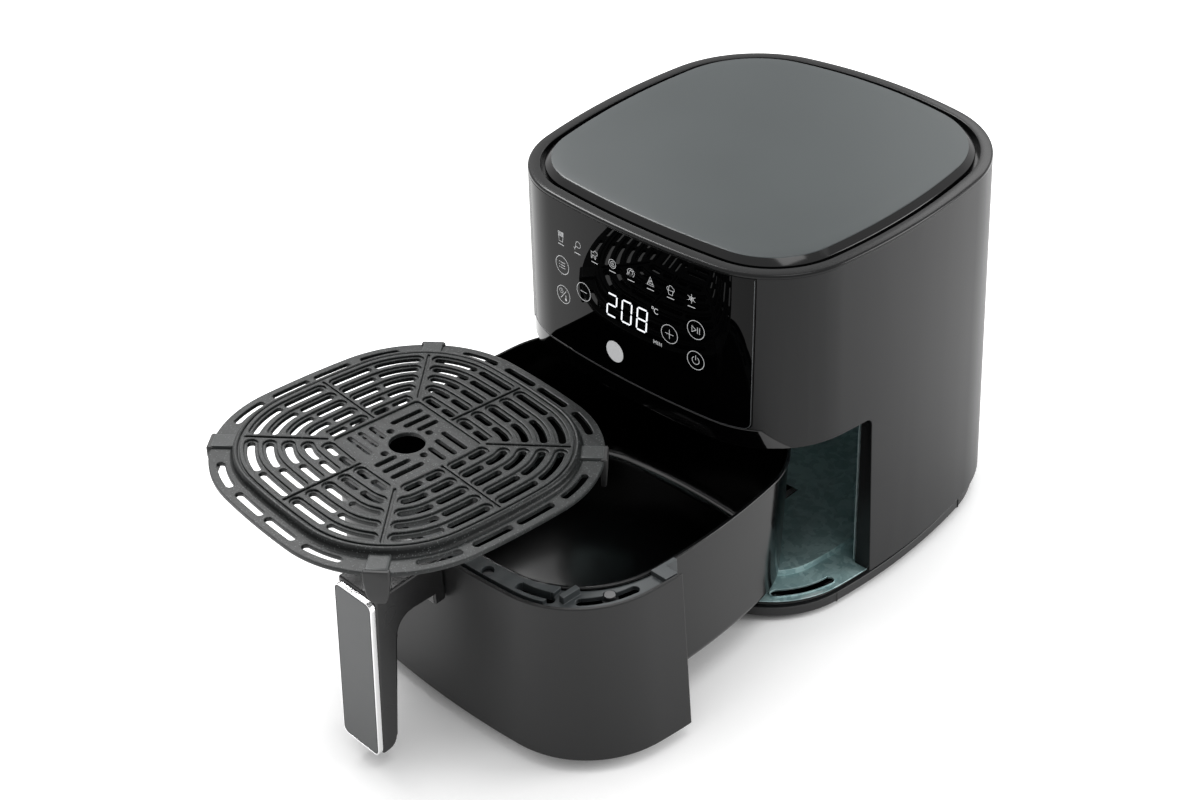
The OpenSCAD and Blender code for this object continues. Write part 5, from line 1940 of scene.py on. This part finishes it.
    def bead(self) -> Draft:
        """Draws the rounded step from the flange up to the field, as insets from the rim and heights."""
        low, high, under = self.flange_t, self.rib_top, self.field_top - self.flange_t
        hidden = low - 1.6
        outer_r, inner_r = self.bead_outer_r, self.bead_inner_r
        foot = [(-12.9, hidden), (-12.9, low - 0.05), (-13.7, low + 0.15)]
        rise = [(-14.4, low + 0.7), (-14.9, low + 1.7)]
        brow = arc(-17.0, high - outer_r, outer_r, 15.0, 90.0, 5)
        inside = arc(-17.3, high - inner_r, inner_r, 90.0, 180.0, 4)
        inside += [(-18.5, self.field_top - 1.0), (-18.5, under), (-16.4, under)]
        profile = foot + rise + brow + inside + [(-self.opening_inset, hidden)]
        return swept(PLATE_RIM.loop(PLATE_STEP), profile, True)

    def seat_loop(self, q: float) -> Loop2:
        """Returns the outline of the raised seat over a foot."""
        rim = PLATE_RIM.toward(0.0, q).length
        near, far, half = rim - self.seat_near, rim - self.seat_far, self.seat_half
        return [self.turned(x, y, q) for x, y in ((near, -half), (far, -half), (far, half), (near, half))]

    def foot(self, draft: Draft, q: float) -> None:
        """Draws a slim rounded foot that grips the flange's edge.

        Args:
            draft: The drawing that it joins.
            q: Direction of its corner, in degrees.
        """
        rim, low, r = PLATE_RIM.toward(0.0, q).length, self.foot_low, self.foot_r
        levels = (
            # height, inner face and outer face from the rim, half width
            (low, -1.4, 0.3, 3.0),
            (low + 0.6, -2.1, 0.9, 4.6),
            (low + 2.4, -2.4, 1.2, 5.6),
            (low + 7.0, -2.5, 1.5, 6.8),
            (-2.2, -2.5, 1.8, 8.0),
            (3.6, -2.5, 1.8, 8.0),
            (4.4, -2.0, 1.2, 7.4),
        )
        rows = []
        for z, near, away, half in levels:
            loop = rounded_box((rim + (near + r), rim + (away - r)), (r - half, half - r), r, 4)
            rows.append(draft.row((*self.turned(x, y, q), z) for x, y in loop))
        draft.solid(rows)
        inner, outer, half = rim - self.foot_tab[0], rim - self.foot_tab[1], self.foot_tab[2]
        tab = ((inner, -half), (outer, -half), (outer, half), (inner, half))
        draft.solid([draft.row((*self.turned(x, y, q), z) for x, y in tab) for z in (-1.6, -0.1)])


# --------------------------------------------------------------------------- studio


@dataclass(frozen=True)
class Softbox:
    """An area lamp that faces the fryer.

    Attributes:
        name: Its name.
        place: Where it stands, in metres from the housing's middle.
        size: Width and height.
        power: Strength in watts.
    """

    name: str
    place: Point3
    size: Point2
    power: float

    def build(self, target: Vector) -> None:
        """Adds the lamp, turned towards a point."""
        lamp = bpy.data.lights.new(self.name, "AREA")
        lamp.shape = "RECTANGLE"
        lamp.size, lamp.size_y = self.size
        lamp.energy = self.power
        holder = placed(self.name, lamp)
        holder.location = target + Vector(self.place)
        holder.rotation_euler = (-Vector(self.place)).to_track_quat("-Z", "Y").to_euler()


@dataclass(frozen=True)
class Studio:
    """Camera, lamps, floor and surroundings.

    Attributes:
        lens_mm: Focal length.
        azimuth: Turn of the camera about the vertical, in degrees.
        elevation: Height of the camera, in degrees.
        roll: Roll of the camera, in degrees.
        place: The camera, in millimetres from the housing's middle.
        floor_lift: Light that the camera sees in the floor on top of what it reflects.
        sky: Light of the surroundings on the object.
        sensor_mm: Width of the sensor.
        floor_half: Half width of the floor, in millimetres.
        floor_grey: Lightness of the floor.
        contact_m: Reach of the painted shadow under the object, which darkens the floor's glow by ambient
            occlusion.
        contact_power: How fast that painted shadow fades.
    """

    lens_mm: float = 53.84
    azimuth: float = 46.645
    elevation: float = 35.933
    roll: float = -3.471
    place: Point3 = (689.6, -812.8, 846.2)
    floor_lift: float = 0.95
    sky: float = 0.25
    sensor_mm: float = 36.0
    floor_half: float = 4000.0
    floor_grey: float = 0.9
    contact_m: float = 0.25
    contact_power: float = 1.6
    lamps: tuple[Softbox, ...] = (
        Softbox("overhead", (0.5, -0.1, 1.7), (0.6, 0.6), 5.0),
        Softbox("left_strip", (-1.1, 0.12, 1.42), (1.1, 0.45), 23.0),
        Softbox("back_strip", (-0.3, 1.5, 1.2), (1.2, 0.3), 3.5),
        Softbox("right_back", (1.4, 1.1, 0.8), (0.8, 0.9), 19.0),
    )

    def build(self, bench: Bench) -> None:
        """Sets the stage."""
        middle = bench.housing.translation.copy()
        self.camera(middle)
        for lamp in self.lamps:
            lamp.build(middle)
        self.floor()
        self.surroundings()
        bpy.context.scene.view_settings.view_transform = "Standard"

    def camera(self, middle: Vector) -> None:
        """Adds the camera."""
        az, el, roll = (math.radians(v) for v in (self.azimuth, self.elevation, self.roll))
        back = Vector((math.sin(az) * math.cos(el), -math.cos(az) * math.cos(el), math.sin(el)))
        right = (-back).cross(Vector((0.0, 0.0, 1.0))).normalized()
        up = right.cross(-back)
        across = right * math.cos(roll) + up * math.sin(roll)
        upward = up * math.cos(roll) - right * math.sin(roll)
        lens = bpy.data.cameras.new("camera")
        lens.lens = self.lens_mm
        lens.sensor_width = self.sensor_mm
        holder = placed("camera", lens)
        turn = Matrix((across, upward, back)).transposed().to_4x4()
        holder.matrix_world = Matrix.Translation(middle + Vector(self.place) * MM) @ turn
        bpy.context.scene.camera = holder

    def seen(self, n: Nodes) -> bpy.types.NodeSocket:
        """Returns 1 for rays that show the surroundings to the camera, directly or in gloss and glass."""
        path = n.add("ShaderNodeLightPath")
        both = n.math("MAXIMUM", path.outputs["Is Camera Ray"], path.outputs["Is Glossy Ray"])
        return n.math("MAXIMUM", both, path.outputs["Is Transmission Ray"])

    def floor(self) -> None:
        """Adds a pale floor that keeps the object's shadow, and whose glow is darkened near the object by a
        painted shadow.
        """
        draft = Draft()
        half = self.floor_half
        square = ((-half, -half), (half, -half), (half, half), (-half, half))
        draft.cap(draft.row((x, y, 0.0) for x, y in square))
        floor = placed("floor", draft.mesh("floor", Matrix.Identity(4)))
        material = bpy.data.materials.new("floor_white")
        n = emptied(material)
        matt = n.add("ShaderNodeBsdfDiffuse", in_Color=(*[self.floor_grey] * 3, 1.0))
        lift = n.add("ShaderNodeEmission")
        # Painted shadow: ambient occlusion darkens the floor's glow under and near the object.
        open_sky = n.add("ShaderNodeAmbientOcclusion", samples=8, in_Distance=self.contact_m)
        shade = n.math("POWER", open_sky.outputs["AO"], self.contact_power)
        light = n.math("MULTIPLY", shade, self.floor_lift)
        n.link(n.math("MULTIPLY", self.seen(n), light), lift.inputs["Strength"])
        both = n.add("ShaderNodeAddShader")
        n.link(matt.outputs[0], both.inputs[0])
        n.link(lift.outputs[0], both.inputs[1])
        result = n.add("ShaderNodeOutputMaterial")
        n.link(both.outputs[0], result.inputs[0])
        floor.data.materials.append(material)

    def surroundings(self) -> None:
        """Makes the world white to the eye and softer as a light."""
        world = bpy.data.worlds.new("surroundings")
        n = emptied(world)
        light = n.add("ShaderNodeBackground", in_Color=(1.0, 1.0, 1.0, 1.0))
        n.link(n.math("MAXIMUM", self.seen(n), self.sky), light.inputs["Strength"])
        result = n.add("ShaderNodeOutputWorld")
        n.link(light.outputs[0], result.inputs[0])
        bpy.context.scene.world = world


def main() -> None:
    """Builds the fryer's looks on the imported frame."""
    logging.basicConfig(level=logging.INFO, format="%(name)s: %(message)s")
    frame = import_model()
    bench = Bench(frame)
    for assembly in (Housing(), Panel(), Oven(), Drawer(), Handle(), Plate()):
        LOG.info("building %s", type(assembly).__name__)
        assembly.build(bench)
    Studio().build(bench)


if __name__ == "__main__":
    main()
